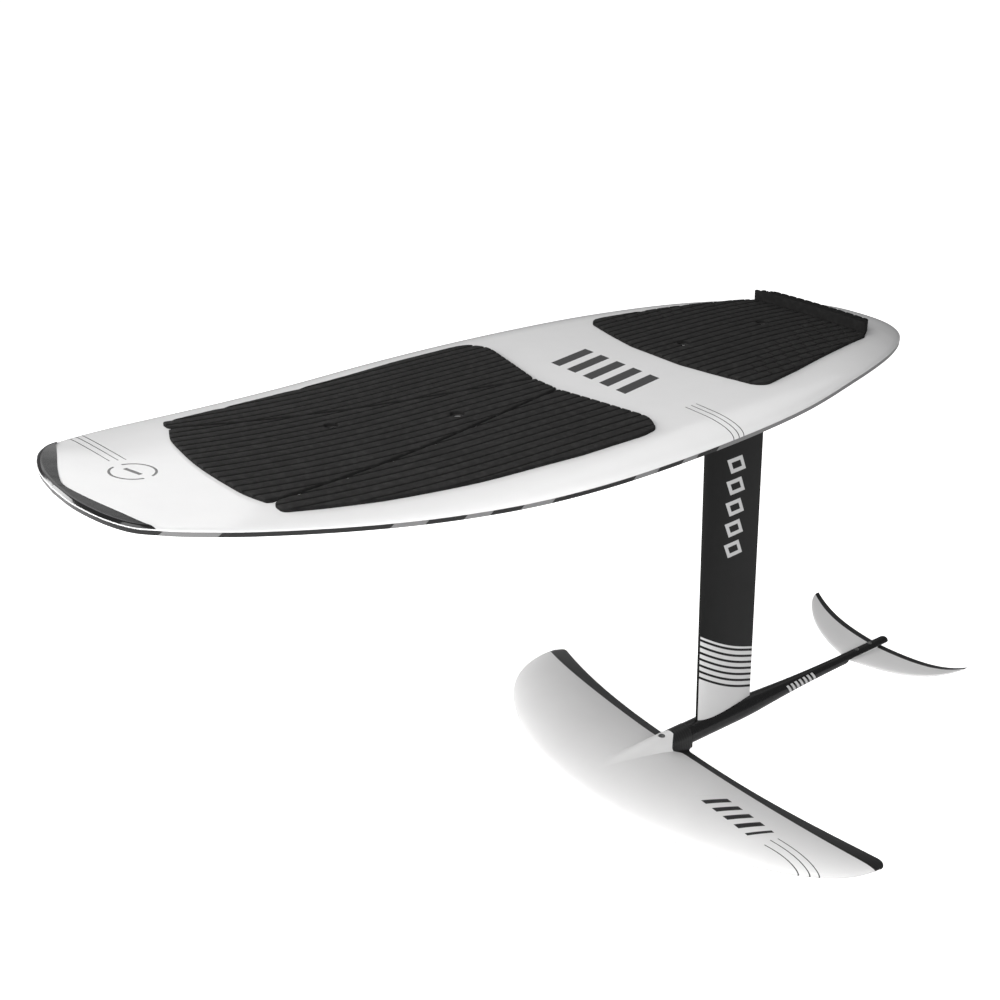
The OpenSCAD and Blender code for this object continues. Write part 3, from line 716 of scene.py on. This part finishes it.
def wing_solid(half, stations, lead, trail, base_trail, thick, camber, hub_top=None, hub_bottom=None, n=56):
    """Wing through stations across the span.

    lead and base_trail give x and z at a share of the half span, and trail the true tail edge where
    a collar moves it. thick and camber follow from the local chord. hub_top and hub_bottom give the
    hub's heights, which blend into the section.
    """
    s = (1 - np.cos(np.linspace(0, math.pi, n + 1))) / 2
    rings = []
    for y in stations:
        u = min(abs(y) / half, 1.0)
        lx, lz = lead(u)
        bx, bz = base_trail(u)
        tx = trail(y, bx)
        x = lx + (tx - lx) * s
        q = np.clip((lx - x) / (lx - bx), 0, 1) if lx - bx > 1e-6 else s * 0
        k = max(lx - bx, 0.5)
        t = thick(k) / 2 * section_half(q) + 0.4 * np.minimum(1, np.sqrt(q / 0.04))
        mid = lz + (bz - lz) * q + camber(k) * 4 * q * (1 - q)
        up, low = mid + t, mid - t
        if hub_top is not None:
            up = soft_max(up, hub_top(x, y), 7.0)
            low = -soft_max(-low, -hub_bottom(x, y), 5.0)
            up[0] = low[0] = (up[0] + low[0]) / 2
        top = np.column_stack([x, np.full(n + 1, y), up])
        bottom = np.column_stack([x, np.full(n + 1, y), low])[:0:-1]
        rings.append(np.concatenate([top, bottom]))
    return loft(rings)


WING_HALF = 400.0
WING_NOSE, WING_TAIL, TIP_X = 322.0, 100.0, 56.0
WING_CHORD = WING_NOSE - WING_TAIL
HUB_R = 19.1
HUB_TAIL, HUB_LENGTH, HUB_END = 150, 155, 304


def wing_lead(u):
    return TIP_X + (WING_NOSE - TIP_X) * (1 - u * u) ** 0.53, AXIS_Z - 2.5 - 33 * u**5.2


def wing_trail(u):
    x = WING_TAIL - 64 * u**2.7
    tip = np.clip((u - 0.955) / 0.045, 0, 1)
    x += (TIP_X - 0.2 - (WING_TAIL - 64)) * (1 - math.sqrt(max(0, 1 - tip * tip)))
    return min(x, wing_lead(u)[0] - 0.1), AXIS_Z - 15.5 - 23 * u**4


def wing_trail_with_collar(y, base):
    """The tail edge runs in a fillet into the collar that meets the fuselage."""
    d = abs(y) - HUB_R
    if d <= 0.01:
        return JOINT_X
    web = 11.0
    if d < web:
        return base - 14 * (1 - math.sqrt(1 - (1 - d / web) ** 2))
    return base


def hub_rise(x, y, share):
    """Height of the round hub above the fuselage's axis; beside the hub it falls away steeply."""
    t = np.clip((x - HUB_TAIL) / HUB_LENGTH, 0, 1)
    r = HUB_R * (1 - t * t) ** 0.62 * share
    return np.where(abs(y) <= r, np.sqrt(np.maximum(r * r - y * y, 0)), -7.0 * (abs(y) - r))


def hub_top(x, y):
    return np.where(x > HUB_END, -900, AXIS_Z + hub_rise(x, y, 1.0))


def hub_bottom(x, y):
    return np.where(x > HUB_END, 900, AXIS_Z - hub_rise(x, y, 0.985))


# Stations are close together over the hub and its fillet, and spread out to the tips
hub_y = HUB_R * np.sin(np.linspace(0, math.pi / 2, 26))
near_y = HUB_R + np.cumsum(0.12 * 1.13 ** np.arange(32))
rest = near_y[-1] + (WING_HALF - near_y[-1]) * np.sin(np.linspace(0, math.pi / 2, 92))[1:]
half_y = np.concatenate([hub_y, [HUB_R + 0.02], near_y, rest])
stations = np.concatenate([-half_y[:0:-1], half_y])
wing = piece(
    "wing_front",
    *wing_solid(
        WING_HALF, stations, wing_lead, wing_trail_with_collar, wing_trail,
        lambda k: 32 * (k / WING_CHORD) ** 1.15, lambda k: 7 * k / WING_CHORD, hub_top, hub_bottom,
    ),
    "foil", "front_wing", "wing_laminate", 38,
)
bolt_x = np.mean(corners("wing_bolt"), axis=0)[0]
head_z = AXIS_Z + 14.7
bore_r = spigot_r + 0.1
cut(wing, [
    cutter(*turned([(JOINT_X - 5, bore_r), (195, bore_r)], AXIS_Z, 64)),
    drill(bolt_x, 0, 5.7, 5.7, head_z, head_z + 20),
    drill(bolt_x, 0, 5.6, 8.4, AXIS_Z + HUB_R - 1.3, AXIS_Z + HUB_R + 1.5),
    drill(bolt_x, 0, 3.2, 3.2, AXIS_Z, head_z + 1),
], sharp=38)

STAB_HALF, STAB_CHORD = 176.0, 92.0
STAB_LEAD, STAB_RISE = -310.0, 25
STAB_Z = AXIS_Z - 3


def stab_lead(u):
    return STAB_LEAD - 40 * u - 68 * (1 - math.sqrt(max(0, 1 - u * u))), STAB_Z + STAB_RISE * u**4


def stab_trail(u):
    return min(STAB_LEAD - STAB_CHORD + 6 - 26 * u**1.5, stab_lead(u)[0] - 0.3), STAB_Z + STAB_RISE * u**4


stab_y = STAB_HALF * np.sin(np.linspace(0, math.pi / 2, 110))
stations = np.concatenate([-stab_y[:0:-1], stab_y])
stab = piece(
    "wing_stabiliser",
    *wing_solid(
        STAB_HALF, stations, stab_lead, lambda y, base: base, stab_trail,
        lambda k: 8.5 * k / STAB_CHORD, lambda k: -1.5 * k / STAB_CHORD, n=44,
    ),
    "foil", "stabiliser", "stabiliser_laminate", 38,
)
# A block under the fuselage's seat carries the two screws
block = rounded(np.array([(-388.0, -8.5), (-316.0, -8.5), (-316.0, 8.5), (-388.0, 8.5)]), 4)
cut(stab, [cutter(*prism(block, STAB_Z - 3.2, SEAT_Z - 0.15))], "UNION", 38)
bush_r = 4.15
cut(stab, [drill(x, 0, bush_r, bush_r, AXIS_Z - 6.35, AXIS_Z + 5) for x in STAB_SCREWS], sharp=38)

# ---- node materials ----


class Val:
    """A number in a shader graph."""

    def __init__(self, graph, socket):
        self.g, self.socket = graph, socket

    def __add__(self, o):
        return self.g.math("ADD", self, o)

    __radd__ = __add__

    def __sub__(self, o):
        return self.g.math("SUBTRACT", self, o)

    def __rsub__(self, o):
        return self.g.math("SUBTRACT", o, self)

    def __mul__(self, o):
        return self.g.math("MULTIPLY", self, o)

    __rmul__ = __mul__

    def __truediv__(self, o):
        return self.g.math("DIVIDE", self, o)

    def __pow__(self, o):
        return self.g.math("POWER", self, o)

    def abs(self):
        return self.g.math("ABSOLUTE", self)


class Graph:
    """A procedural material. x, y and z are the object's own coordinates in millimetres."""

    def __init__(self, name):
        self.material = bpy.data.materials.new(name)
        self.material.use_nodes = True
        self.tree = self.material.node_tree
        self.shader = self.tree.nodes["Principled BSDF"]
        coord = self.new("ShaderNodeTexCoord").outputs["Object"]
        scaled = self.new("ShaderNodeVectorMath", {0: coord, "Scale": 1 / MM}, operation="SCALE")
        self.place = scaled.outputs[0]
        self.x, self.y, self.z = self.split(self.place)

    def new(self, kind, inputs=None, **settings):
        """A new node: its settings are made first, then its inputs are fed."""
        node = self.tree.nodes.new(kind)
        for name, value in settings.items():
            setattr(node, name, value)
        for name, value in (inputs or {}).items():
            self.feed(node.inputs[name], value)
        return node

    def split(self, vector):
        node = self.new("ShaderNodeSeparateXYZ", {0: vector})
        return [Val(self, socket) for socket in node.outputs]

    def feed(self, socket, value):
        if isinstance(value, Val):
            self.tree.links.new(value.socket, socket)
        elif value is not None and hasattr(value, "is_output"):
            self.tree.links.new(value, socket)
        elif isinstance(value, (tuple, list)):
            socket.default_value = (*value, 1.0) if len(value) == 3 and socket.type == "RGBA" else value
        else:
            socket.default_value = value

    def math(self, operation, a, b=0.0):
        return Val(self, self.new("ShaderNodeMath", {0: a, 1: b}, operation=operation).outputs[0])

    def most(self, *values):
        out = values[0]
        for v in values[1:]:
            out = self.math("MAXIMUM", out, v)
        return out

    def mod(self, a, b):
        return self.math("FLOORED_MODULO", a, b)

    def sine(self, a):
        return self.math("SINE", a)

    def away(self, x, y):
        """Distance in plan from a point."""
        dx, dy = self.x - x, self.y - y
        return self.math("SQRT", dx * dx + dy * dy)

    def rise(self, value, at, soft=0.15, kind="LINEAR"):
        """0 below at, 1 above it."""
        inputs = {"Value": value, "From Min": at - soft, "From Max": at + soft}
        return Val(self, self.new("ShaderNodeMapRange", inputs, interpolation_type=kind).outputs[0])

    def fall(self, value, at, soft=0.15):
        """1 below at, 0 above it."""
        return 1.0 - self.rise(value, at, soft)

    def band(self, value, a, b, soft=0.15):
        """1 between a and b."""
        return self.rise(value, a, soft) * self.fall(value, b, soft)

    def noise(self, scale, detail=3.0, stretch=(1, 1, 1), rough=0.55):
        place = self.new("ShaderNodeMapping", {"Vector": self.place, "Scale": stretch}).outputs[0]
        inputs = {"Vector": place, "Scale": scale, "Detail": detail, "Roughness": rough}
        return Val(self, self.new("ShaderNodeTexNoise", inputs).outputs["Fac"])

    def cells(self, scale):
        node = self.new("ShaderNodeTexVoronoi", {"Vector": self.place, "Scale": scale})
        return Val(self, node.outputs["Distance"])

    def mix(self, share, a, b):
        return self.new("ShaderNodeMix", {"Factor": share, 6: a, 7: b}, data_type="RGBA").outputs[2]

    def blend(self, share, a, b):
        return share * (b - a) + a

    def rounded_normal(self, radius):
        return self.new("ShaderNodeBevel", {"Radius": radius * MM}, samples=4).outputs[0]

    def bump(self, height, strength=0.2, distance=0.2, edge=0.0):
        """Fine relief in millimetres; edge rounds the corners by that radius."""
        inputs = {"Height": height, "Strength": strength, "Distance": distance * MM}
        if edge:
            inputs["Normal"] = self.rounded_normal(edge)
        self.feed(self.shader.inputs["Normal"], self.new("ShaderNodeBump", inputs).outputs[0])

    def worn_edge(self, size=0.5):
        """1 near convex edges, from the angle between the true and a rounded normal."""
        true = self.new("ShaderNodeNewGeometry").outputs["Normal"]
        inputs = {0: self.rounded_normal(size), 1: true}
        dot = self.new("ShaderNodeVectorMath", inputs, operation="DOT_PRODUCT")
        return self.fall(Val(self, dot.outputs["Value"]), 0.93, 0.05)

    def set(self, **values):
        """Sets the surface's values by their names and returns the material."""
        for name, value in values.items():
            self.feed(self.shader.inputs[name.replace("_", " ").title().replace("Ior", "IOR")], value)
        return self.material


def grey(v, warm=0.0):
    """A grey colour, slightly red of neutral where warm is above 0."""
    return (v * (1 + warm), v, v * (1 - warm))


def line_mask(g, a, b, width):
    """A thin straight line on the deck from a to b, in plan."""
    (ax, ay), (bx, by) = a, b
    length = math.hypot(bx - ax, by - ay)
    tx, ty = (bx - ax) / length, (by - ay) / length
    along = (g.x - ax) * tx + (g.y - ay) * ty
    across = ((g.x - ax) * (-ty) + (g.y - ay) * tx).abs()
    return g.band(along, 0.0, length, 0.2) * g.fall(across, width / 2, 0.15)


def carbon(g, u, v, pitch=2.6):
    """Twill weave along u and v: which tow lies on top, and how high it is."""
    over = g.rise(g.mod(g.math("FLOOR", u / pitch) + g.math("FLOOR", v / pitch), 4.0), 1.5, 0.05)
    along, across = (g.sine(d * (math.pi / pitch)).abs() for d in (u, v))
    return over, g.blend(over, along, across)


def gelcoat_deck():
    g = Graph("gelcoat_deck")
    fleck = g.noise(0.02, 4.0)
    fine = g.noise(0.9, 2.0)
    white = g.mix(fleck, grey(0.80, 0.003), grey(0.84, 0.003))
    # Three thin lines by the nose guard, and three at the rail between the pads
    paint = [
        line_mask(g, (x0, -220), (x1, y1), 1.5)
        for x0, x1, y1 in ((981.142, 962, -58), (971.142, 952, -57), (962.142, 943, -56))
    ]
    for x in (269, 259, 250):
        paint.append(g.band(g.x, x - 0.75, x + 0.75, 0.15) * g.rise(g.y, 178.0, 0.2))
    # A plain ring and bar at the nose
    ring_x, ring_y = 951.0, -14.5
    away = g.away(ring_x, ring_y)
    side = ((g.x - ring_x) * 0.94 + (g.y - ring_y) * 0.34).abs()
    paint.append(g.band(away, 25.0, 28.2, 0.2) * g.rise(side, 6.0, 0.3))
    paint.append(g.fall(away, 14.0, 0.2) * g.fall(side, 3.0, 0.2))
    # A row of slanted bars between the pads
    slant = g.y - (g.x - 262.0) * 0.22
    bars = g.band(g.mod(slant + 90.0, 36.4), 8.0, 28.0, 0.2) * g.band(slant, -90.0, 92.0, 0.2)
    paint.append(bars * g.band(g.x, 224.0, 300.0, 0.2))
    # The lower edge of the skin is black round the tail, further forward on the starboard side
    behind = g.math("MAXIMUM", 30.0 - g.x, 0.0) / (30.0 - TAIL)
    rim_height = g.z - (DECK - RAIL + STRIP - behind * behind * TAIL_DROP)
    aft = g.most(g.fall(g.x, -262.0, 1.0), g.fall(g.x, -212.0, 1.0) * g.fall(g.y, 0.0, 1.0))
    paint.append(g.fall(rim_height, 4.5, 0.3) * aft)
    # Painted shade in the strap recesses: black on the deck round the barrels
    paint += [g.fall(g.away(x, y), 10.6, 0.2) for x, y in STRAPS]
    base = g.mix(g.most(*paint), white, grey(0.05))
    wave = g.noise(0.012, 2.0)
    g.bump(wave * 3.0 + fine * 0.015, 0.22, 0.6, 0.0)
    return g.set(
        base_color=base, roughness=g.blend(fine, 0.10, 0.17), coat_weight=0.35, coat_roughness=0.06
    )


# Where the rail strip changes between black and grey, from the nose
BLOCKS = (986.0, 931.0, 751.0, 711.0, 665.0, 633.0, 594.0, 553.0, 435.0, 398.0, 357.0, 332.0, 295.0)


def strip_paint():
    """Blocks of black and grey with slanted ends along the rail's strip, black round the tail."""
    g = Graph("rail_strip")
    ahead = g.math("MAXIMUM", g.x - 550.0, 0.0) / 500.0
    low_rail = g.rise(g.x, 685.0, 265.0, "SMOOTHSTEP")
    strip_top = ahead * ahead * NOSE_RISE + low_rail * (RAIL - NOSE_RAIL) + (DECK - RAIL + STRIP)
    u = g.x + (g.z - strip_top) * 0.9
    black = g.rise(u, BLOCKS[0], 0.3)
    for high, low in zip(BLOCKS[1::2], BLOCKS[2::2]):
        black = g.most(black, g.band(u, low, high, 0.3))
    black = g.most(black, g.fall(g.x, -238.0, 0.5))
    fine = g.noise(0.7, 2.0)
    pale = g.mix(fine, grey(0.17), grey(0.21))
    base = g.mix(black, pale, grey(0.012))
    rough = g.blend(fine, 0.28, 0.38) * (g.rise(g.z, 0.0, 1.0) * 0.1 + 0.95)
    g.bump(fine, 0.05, 0.2)
    return g.set(base_color=base, roughness=rough, specular_ior_level=0.3, coat_weight=0.05)


def gelcoat_bottom():
    g = Graph("gelcoat_bottom")
    big = g.noise(0.015, 4.0)
    fine = g.noise(0.9, 2.0)
    scuff = g.noise(0.05, 6.0, (0.2, 2.0, 1.0))
    base = g.mix(big, grey(0.33), grey(0.38))
    base = g.mix(g.rise(scuff, 0.66, 0.05) * 0.25, base, grey(0.45))
    g.bump(fine * 0.02 + big * 2.0, 0.2, 0.5)
    return g.set(base_color=base, roughness=g.blend(fine, 0.16, 0.26), coat_weight=0.3, coat_roughness=0.08)


def guard_black():
    g = Graph("guard_gloss")
    fine = g.noise(0.8, 3.0)
    broad = g.noise(0.04, 2.0)
    scratch = g.noise(0.25, 8.0, (0.15, 2.5, 1.0))
    rough = g.blend(fine, 0.08, 0.14) + g.rise(scratch, 0.68, 0.04) * 0.12
    g.bump(broad * 1.2 + fine * 0.03, 0.12, 0.4)
    base = g.mix(broad, grey(0.006), grey(0.012))
    return g.set(
        base_color=base, roughness=rough, specular_ior_level=0.36, coat_weight=0.12, coat_roughness=0.06
    )


def foam(name, dark, pale, side):
    """Closed-cell foam: fine pores and dusty patches. With side set, steep faces are darker as painted
    shade in the grooves and on the edges, which leaves the tops paler.
    """
    g = Graph(name)
    pores = g.cells(1.1)
    grain = g.noise(2.6, 4.0, rough=0.7)
    patch = g.noise(0.02, 5.0)
    dust = g.rise(g.noise(0.11, 7.0), 0.58, 0.12) * 0.6
    base = g.mix(patch, grey(dark, 0.02), grey(pale, 0.02))
    base = g.mix(dust * 0.5, base, grey(pale * 2.4, 0.02))
    base = g.mix(g.fall(pores, 0.28, 0.12) * 0.45, base, grey(dark * 0.35))
    if side:
        # Painted shade: steep faces, the grooves' walls and the pad's edges, are made darker
        normal = g.split(g.new("ShaderNodeNewGeometry").outputs["Normal"])
        painted_shade_on_steep = g.fall(normal[2].abs(), 0.75, 0.2)
        base = g.mix(painted_shade_on_steep * 0.55, base, grey(dark * 0.25))
    g.bump(grain * 0.7 + pores * 0.6, 0.55, 0.35)
    return g.set(base_color=base, roughness=0.85, specular_ior_level=0.14)


def mast_paint():
    g = Graph("mast_paint")
    grain = g.noise(0.5, 5.0, (1.0, 1.0, 0.03))
    fine = g.noise(1.6, 2.0)
    # The paint's edge and stripes slant down towards the tail in a shallow curve
    t = (mast_high[0] - g.x) / (mast_high[0] - mast_low[0])
    level = g.z + t * 66.0 + g.sine(t * math.pi) * 5.0
    white = g.fall(level, -455.0, 0.25)
    stripes = g.fall((g.mod(level + 467.5, 12.0) - 6.0).abs(), 2.3, 0.2)
    stripes = stripes * g.band(level, -537.5, -457.0, 0.2)
    nose = g.rise(g.x, mast_high[0] - 1.6, 0.2)
    dark = g.most(1.0 - white, stripes, nose)
    # Generic marks high on the mast in place of lettering: a column of five hollow slanted blocks
    cell = g.mod(g.z + 330.0, 37.2)
    across = g.x - (cell - 18.0) * 0.4
    marks = g.band(cell, 5.0, 31.0, 0.2) * g.band(across, -17.0, 17.0, 0.25)
    hole = g.band(cell, 12.0, 24.0, 0.2) * g.band(across, -10.0, 10.0, 0.25)
    marks = marks * (1.0 - hole) * g.band(g.z, -330.0, -144.0, 0.2)
    base = g.mix(dark, grey(0.74, 0.004), g.mix(grain, grey(0.006), grey(0.011)))
    base = g.mix(marks, base, grey(0.62))
    g.bump(grain * 0.4 + fine * 0.2, 0.12, 0.15)
    return g.set(base_color=base, roughness=g.blend(grain, 0.34, 0.46), specular_ior_level=0.18)


def fuselage_black():
    g = Graph("fuselage_gloss")
    grain = g.noise(0.5, 5.0, (0.03, 1.0, 1.0))
    fine = g.noise(1.4, 2.0)
    lean = g.x - (g.z - AXIS_Z) * 0.55
    # A row of slanted bars on the port side, in place of lettering
    bars = g.band(g.mod(lean + 219.0, 10.6), 2.0, 7.6, 0.2) * g.band(lean, -219.0, -144.8, 0.2)
    bars = bars * g.band(g.z, AXIS_Z - 8.5, AXIS_Z + 9.0, 0.25) * g.rise(g.y, 0.0, 0.2)
    base = g.mix(bars, g.mix(grain, grey(0.006), grey(0.013)), grey(0.66))
    g.bump(grain * 0.3 + fine * 0.1, 0.08, 0.12)
    return g.set(base_color=base, roughness=g.blend(grain, 0.20, 0.30))


def wing_paint(name, half, lacquer_edge, stripes=()):
    """Pale lacquer ahead of lacquer_edge, bare carbon twill behind it."""
    g = Graph(name)
    away = g.y.abs()
    u = away / half
    inner = lacquer_edge(g, away, u)
    fine = g.noise(1.2, 3.0)
    broad = g.noise(0.014, 3.0)
    dark = g.fall(g.x - inner, 0.0, 0.2)
    glint = g.band(g.x - inner, 0.1, 0.9, 0.2)
    over, crest = carbon(g, g.x + g.y, g.x - g.y)
    weave = g.mix(over, grey(0.010), grey(0.022))
    weave = g.mix(crest * 0.5, weave, grey(0.015))
    pale = g.mix(broad, grey(0.79, 0.006), grey(0.84, 0.006))
    base = g.mix(glint * 0.5, pale, grey(0.92))
    base = g.mix(dark, base, weave)
    if stripes:
        # Thin stripes near the port tip, and a row of slanted bars inboard of them
        marks = []
        for x0, y0, x1, y1, sag in stripes:
            t = (g.y - y0) / (y1 - y0)
            line = t * (x1 - x0) + x0 + g.sine(t * math.pi) * sag
            marks.append(g.band(g.x - line, -0.8, 0.8, 0.2) * g.band(g.y, y0, y1, 0.3))
        slant = g.y + (g.x - 170.0) * 0.35
        bars = g.band(g.mod(slant + 3.0, 24.0), 5.0, 16.0, 0.2) * g.band(g.x, 156.0, 198.0, 0.2)
        marks.append(bars * g.band(slant, 157.0, 272.0, 0.2))
        base = g.mix(g.most(*marks), base, grey(0.02))
    g.bump(fine * 0.25 + broad * 2.0 + dark * crest * 0.25, 0.15, 0.25)
    rough = g.blend(dark, 0.42, 0.33) + fine * 0.06
    return g.set(
        base_color=base, roughness=rough, specular_ior_level=0.42, coat_weight=0.08, coat_roughness=0.25,
    )


def wing_lacquer_edge(g, away, u):
    """The edge runs across the wing and steps forward beside the hub."""
    body = 117.5 - 0.00016 * away * away - (u**6.0) * 24.0 + g.fall(g.y, 0.0, 60.0) * 4.0
    beside = g.math("MAXIMUM", 1.0 - ((away - 19.0) / 12.0).abs(), 0.0)
    return body + beside * 13.0 * g.fall(away, 30.0, 6.0)


def stab_lacquer_edge(g, away, u):
    return -383.0 - (u**1.5) * 26.0 - (u**6.0) * 3.0


def steel(name, tint=0.62):
    g = Graph(name)
    brush = g.noise(1.6, 5.0, (1.0, 1.0, 0.1))
    spots = g.noise(0.4, 3.0)
    worn = g.worn_edge(0.4)
    base = g.mix(brush, grey(tint * 0.8), grey(tint))
    base = g.mix(worn * 0.5, base, grey(min(0.9, tint * 1.3)))
    g.bump(brush, 0.15, 0.06, 0.25)
    return g.set(base_color=base, metallic=1.0, roughness=g.blend(spots, 0.24, 0.4))


def brass():
    g = Graph("insert_brass")
    brush = g.noise(1.2, 4.0, (1.0, 1.0, 0.15))
    # The brass is darkened well below its own colour to paint the shade in the strap recesses
    base = g.mix(brush, (0.20, 0.16, 0.10), (0.32, 0.26, 0.17))
    g.bump(brush, 0.2, 0.08, 0.2)
    return g.set(base_color=base, metallic=1.0, roughness=g.blend(brush, 0.25, 0.42))


def plate_black():
    g = Graph("plate_anodised")
    grain = g.noise(0.9, 5.0, (0.2, 1.0, 1.0))
    worn = g.worn_edge(0.6) * g.rise(g.noise(0.15, 5.0), 0.5, 0.1)
    base = g.mix(grain, grey(0.014), grey(0.026))
    base = g.mix(worn * 0.5, base, grey(0.25))
    g.bump(grain, 0.15, 0.08, 0.5)
    return g.set(base_color=base, metallic=0.35, roughness=g.blend(grain, 0.3, 0.42))


def moulded(name, shade):
    g = Graph(name)
    grain = g.noise(1.5, 5.0, rough=0.7)
    flow = g.noise(0.05, 3.0)
    base = g.mix(flow, grey(shade * 0.8), grey(shade * 1.2))
    g.bump(grain, 0.3, 0.12, 0.3)
    return g.set(base_color=base, roughness=g.blend(grain, 0.45, 0.6))


def core_foam(name, a, b):
    g = Graph(name)
    beads = g.cells(0.22)
    grain = g.noise(0.8, 3.0)
    base = g.mix(beads, a, b)
    g.bump(beads + grain * 0.3, 0.4, 0.5)
    return g.set(base_color=base, roughness=0.85)


def timber():
    g = Graph("stringer_wood")
    rings = g.noise(0.25, 4.0, (0.05, 2.0, 1.0))
    pores = g.noise(2.0, 3.0, (0.05, 1.0, 1.0))
    wave = g.sine(rings * 34.0) * 0.5 + 0.5
    base = g.mix(wave, (0.50, 0.33, 0.17), (0.68, 0.50, 0.30))
    base = g.mix(g.rise(pores, 0.62, 0.06) * 0.5, base, (0.30, 0.18, 0.09))
    g.bump(pores, 0.25, 0.15)
    return g.set(base_color=base, roughness=g.blend(pores, 0.5, 0.65))


def wear(obj, *materials):
    """Puts the materials in the object's slots; the last one fills what is left."""
    slots = obj.data.materials
    while len(slots) < len(materials):
        slots.append(None)
    for i in range(len(slots)):
        slots[i] = materials[min(i, len(materials) - 1)]


# Stripes on the wing: from x and y, to x and y, and how far each one bows
wing_stripes = [(190, 290, 179, 357, -3.0), (175, 287, 166, 373, -3.5), (162, 290, 155, 389, -4.0)]
pad_foam = foam("pad_foam", 0.014, 0.024, True)
metal = steel("stainless", 0.4)
objects = bpy.data.objects
wear(deck, gelcoat_deck())
wear(hull, gelcoat_bottom(), strip_paint())
wear(guard, guard_black())
for name in ("pad_front_centre", "pad_front_left", "pad_front_right", "pad_rear"):
    wear(objects[name], pad_foam)
wear(objects["kick"], foam("kick_foam", 0.006, 0.010, False))
wear(objects["mast_blade"], mast_paint())
wear(fuselage, fuselage_black())
wear(wing, wing_paint("wing_lacquer", WING_HALF, wing_lacquer_edge, wing_stripes))
wear(stab, wing_paint("stabiliser_lacquer", STAB_HALF, stab_lacquer_edge))
nodes = frame["nodes"]
wear(nodes["foam_core"], core_foam("core_beads", grey(0.72), grey(0.85)))
wear(nodes["track_block"], core_foam("block_beads", (0.55, 0.47, 0.28), (0.68, 0.6, 0.4)))
wear(nodes["stringers"], timber())
for node in ("track_left", "track_right"):
    wear(nodes[node], moulded("track_plastic", 0.03))
wear(nodes["strap_barrels"], moulded("barrel_plastic", 0.035))
wear(nodes["strap_inserts"], brass())
wear(nodes["stabiliser_bushes"], brass())
wear(nodes["mast_plate"], plate_black())
for node in (
    "plate_bolts", "plate_washers", "track_nuts", "mast_top_screws", "mast_foot_screws", "wing_bolt",
    "stabiliser_screws",
):
    wear(nodes[node], metal)

# ---- floor, light and camera ----

scene = bpy.context.scene
floor_z = cad_box[0].z / MM - 0.6
floor_half = 60000.0
ends = (-floor_half, floor_half)
floor = mesh_object("floor", [(x, y, floor_z) for x in ends for y in ends], [(0, 2, 3, 1)])
paper = Graph("paper_floor")
paper.bump(paper.noise(0.02, 3.0), 0.02, 0.2)
# The glow is seen by the camera only, so it lights nothing
light_path = paper.new("ShaderNodeLightPath")
glow = Val(paper, light_path.outputs["Is Camera Ray"]) * 0.9
wear(floor, paper.set(
    base_color=grey(0.93), roughness=0.9, specular_ior_level=0.1, emission_color=grey(1.0),
    emission_strength=glow,
))


def area(name, place, target, size, power):
    """A rectangular soft light at place that faces target."""
    data = bpy.data.lights.new(name, "AREA")
    data.shape = "RECTANGLE"
    data.size, data.size_y = size
    data.energy = power
    obj = bpy.data.objects.new(name, data)
    scene.collection.objects.link(obj)
    obj.location = place
    obj.rotation_euler = (Vector(target) - Vector(place)).to_track_quat("-Z", "Y").to_euler()


area("key", (2.4, 0.5, 2.7), (0.6, 0.0, 0.0), (2.6, 2.2), 66)
area("side", (0.6, 3.8, 1.7), (0.1, 0.0, -0.3), (2.2, 1.6), 24)
area("front", (2.6, 1.9, 0.9), (0.1, 0.1, -0.64), (1.6, 1.4), 63)
area("low", (2.1, -1.9, 0.8), (0.1, -0.1, -0.64), (1.4, 1.2), 42)
area("rim", (3.6, -2.3, 2.3), (1.0, 0.1, 0.1), (1.4, 1.0), 10)
area("far", (0.2, -3.6, 1.7), (0.9, 0.0, 0.1), (2.6, 1.3), 9)
area("back", (-2.2, -1.2, 2.4), (-0.3, 0.0, 0.0), (1.8, 1.6), 4)

# The room is a dim grey that lights the object, and white where the camera sees it
world = bpy.data.worlds.new("studio")
scene.world = world
world.use_nodes = True
tree = world.node_tree
back = tree.nodes["Background"]
path = tree.nodes.new("ShaderNodeLightPath")
shade = tree.nodes.new("ShaderNodeMix")
shade.data_type = "RGBA"
shade.inputs[6].default_value = (0.16, 0.16, 0.163, 1)
shade.inputs[7].default_value = (1.0, 1.0, 1.0, 1)
tree.links.new(path.outputs["Is Camera Ray"], shade.inputs["Factor"])
tree.links.new(shade.outputs[2], back.inputs["Color"])
scene.view_settings.view_transform = "Standard"

# The photograph's camera, solved from the object's symmetry: its right and down axes and its place
camera_data = bpy.data.cameras.new("camera")
camera = bpy.data.objects.new("camera", camera_data)
scene.collection.objects.link(camera)
camera_data.sensor_width = 36
camera_data.lens = 50.04
camera_data.clip_end = 200
right = Vector((-0.81669292, 0.57621799, -0.0313927))
down = Vector((0.26633396, 0.32810725, -0.90631774))
forward = right.cross(down)
turn = Matrix((right, -down, -forward)).transposed()
camera.matrix_world = Matrix.Translation((1.43631, 1.44571, 0.71772)) @ turn.to_4x4()
scene.camera = camera
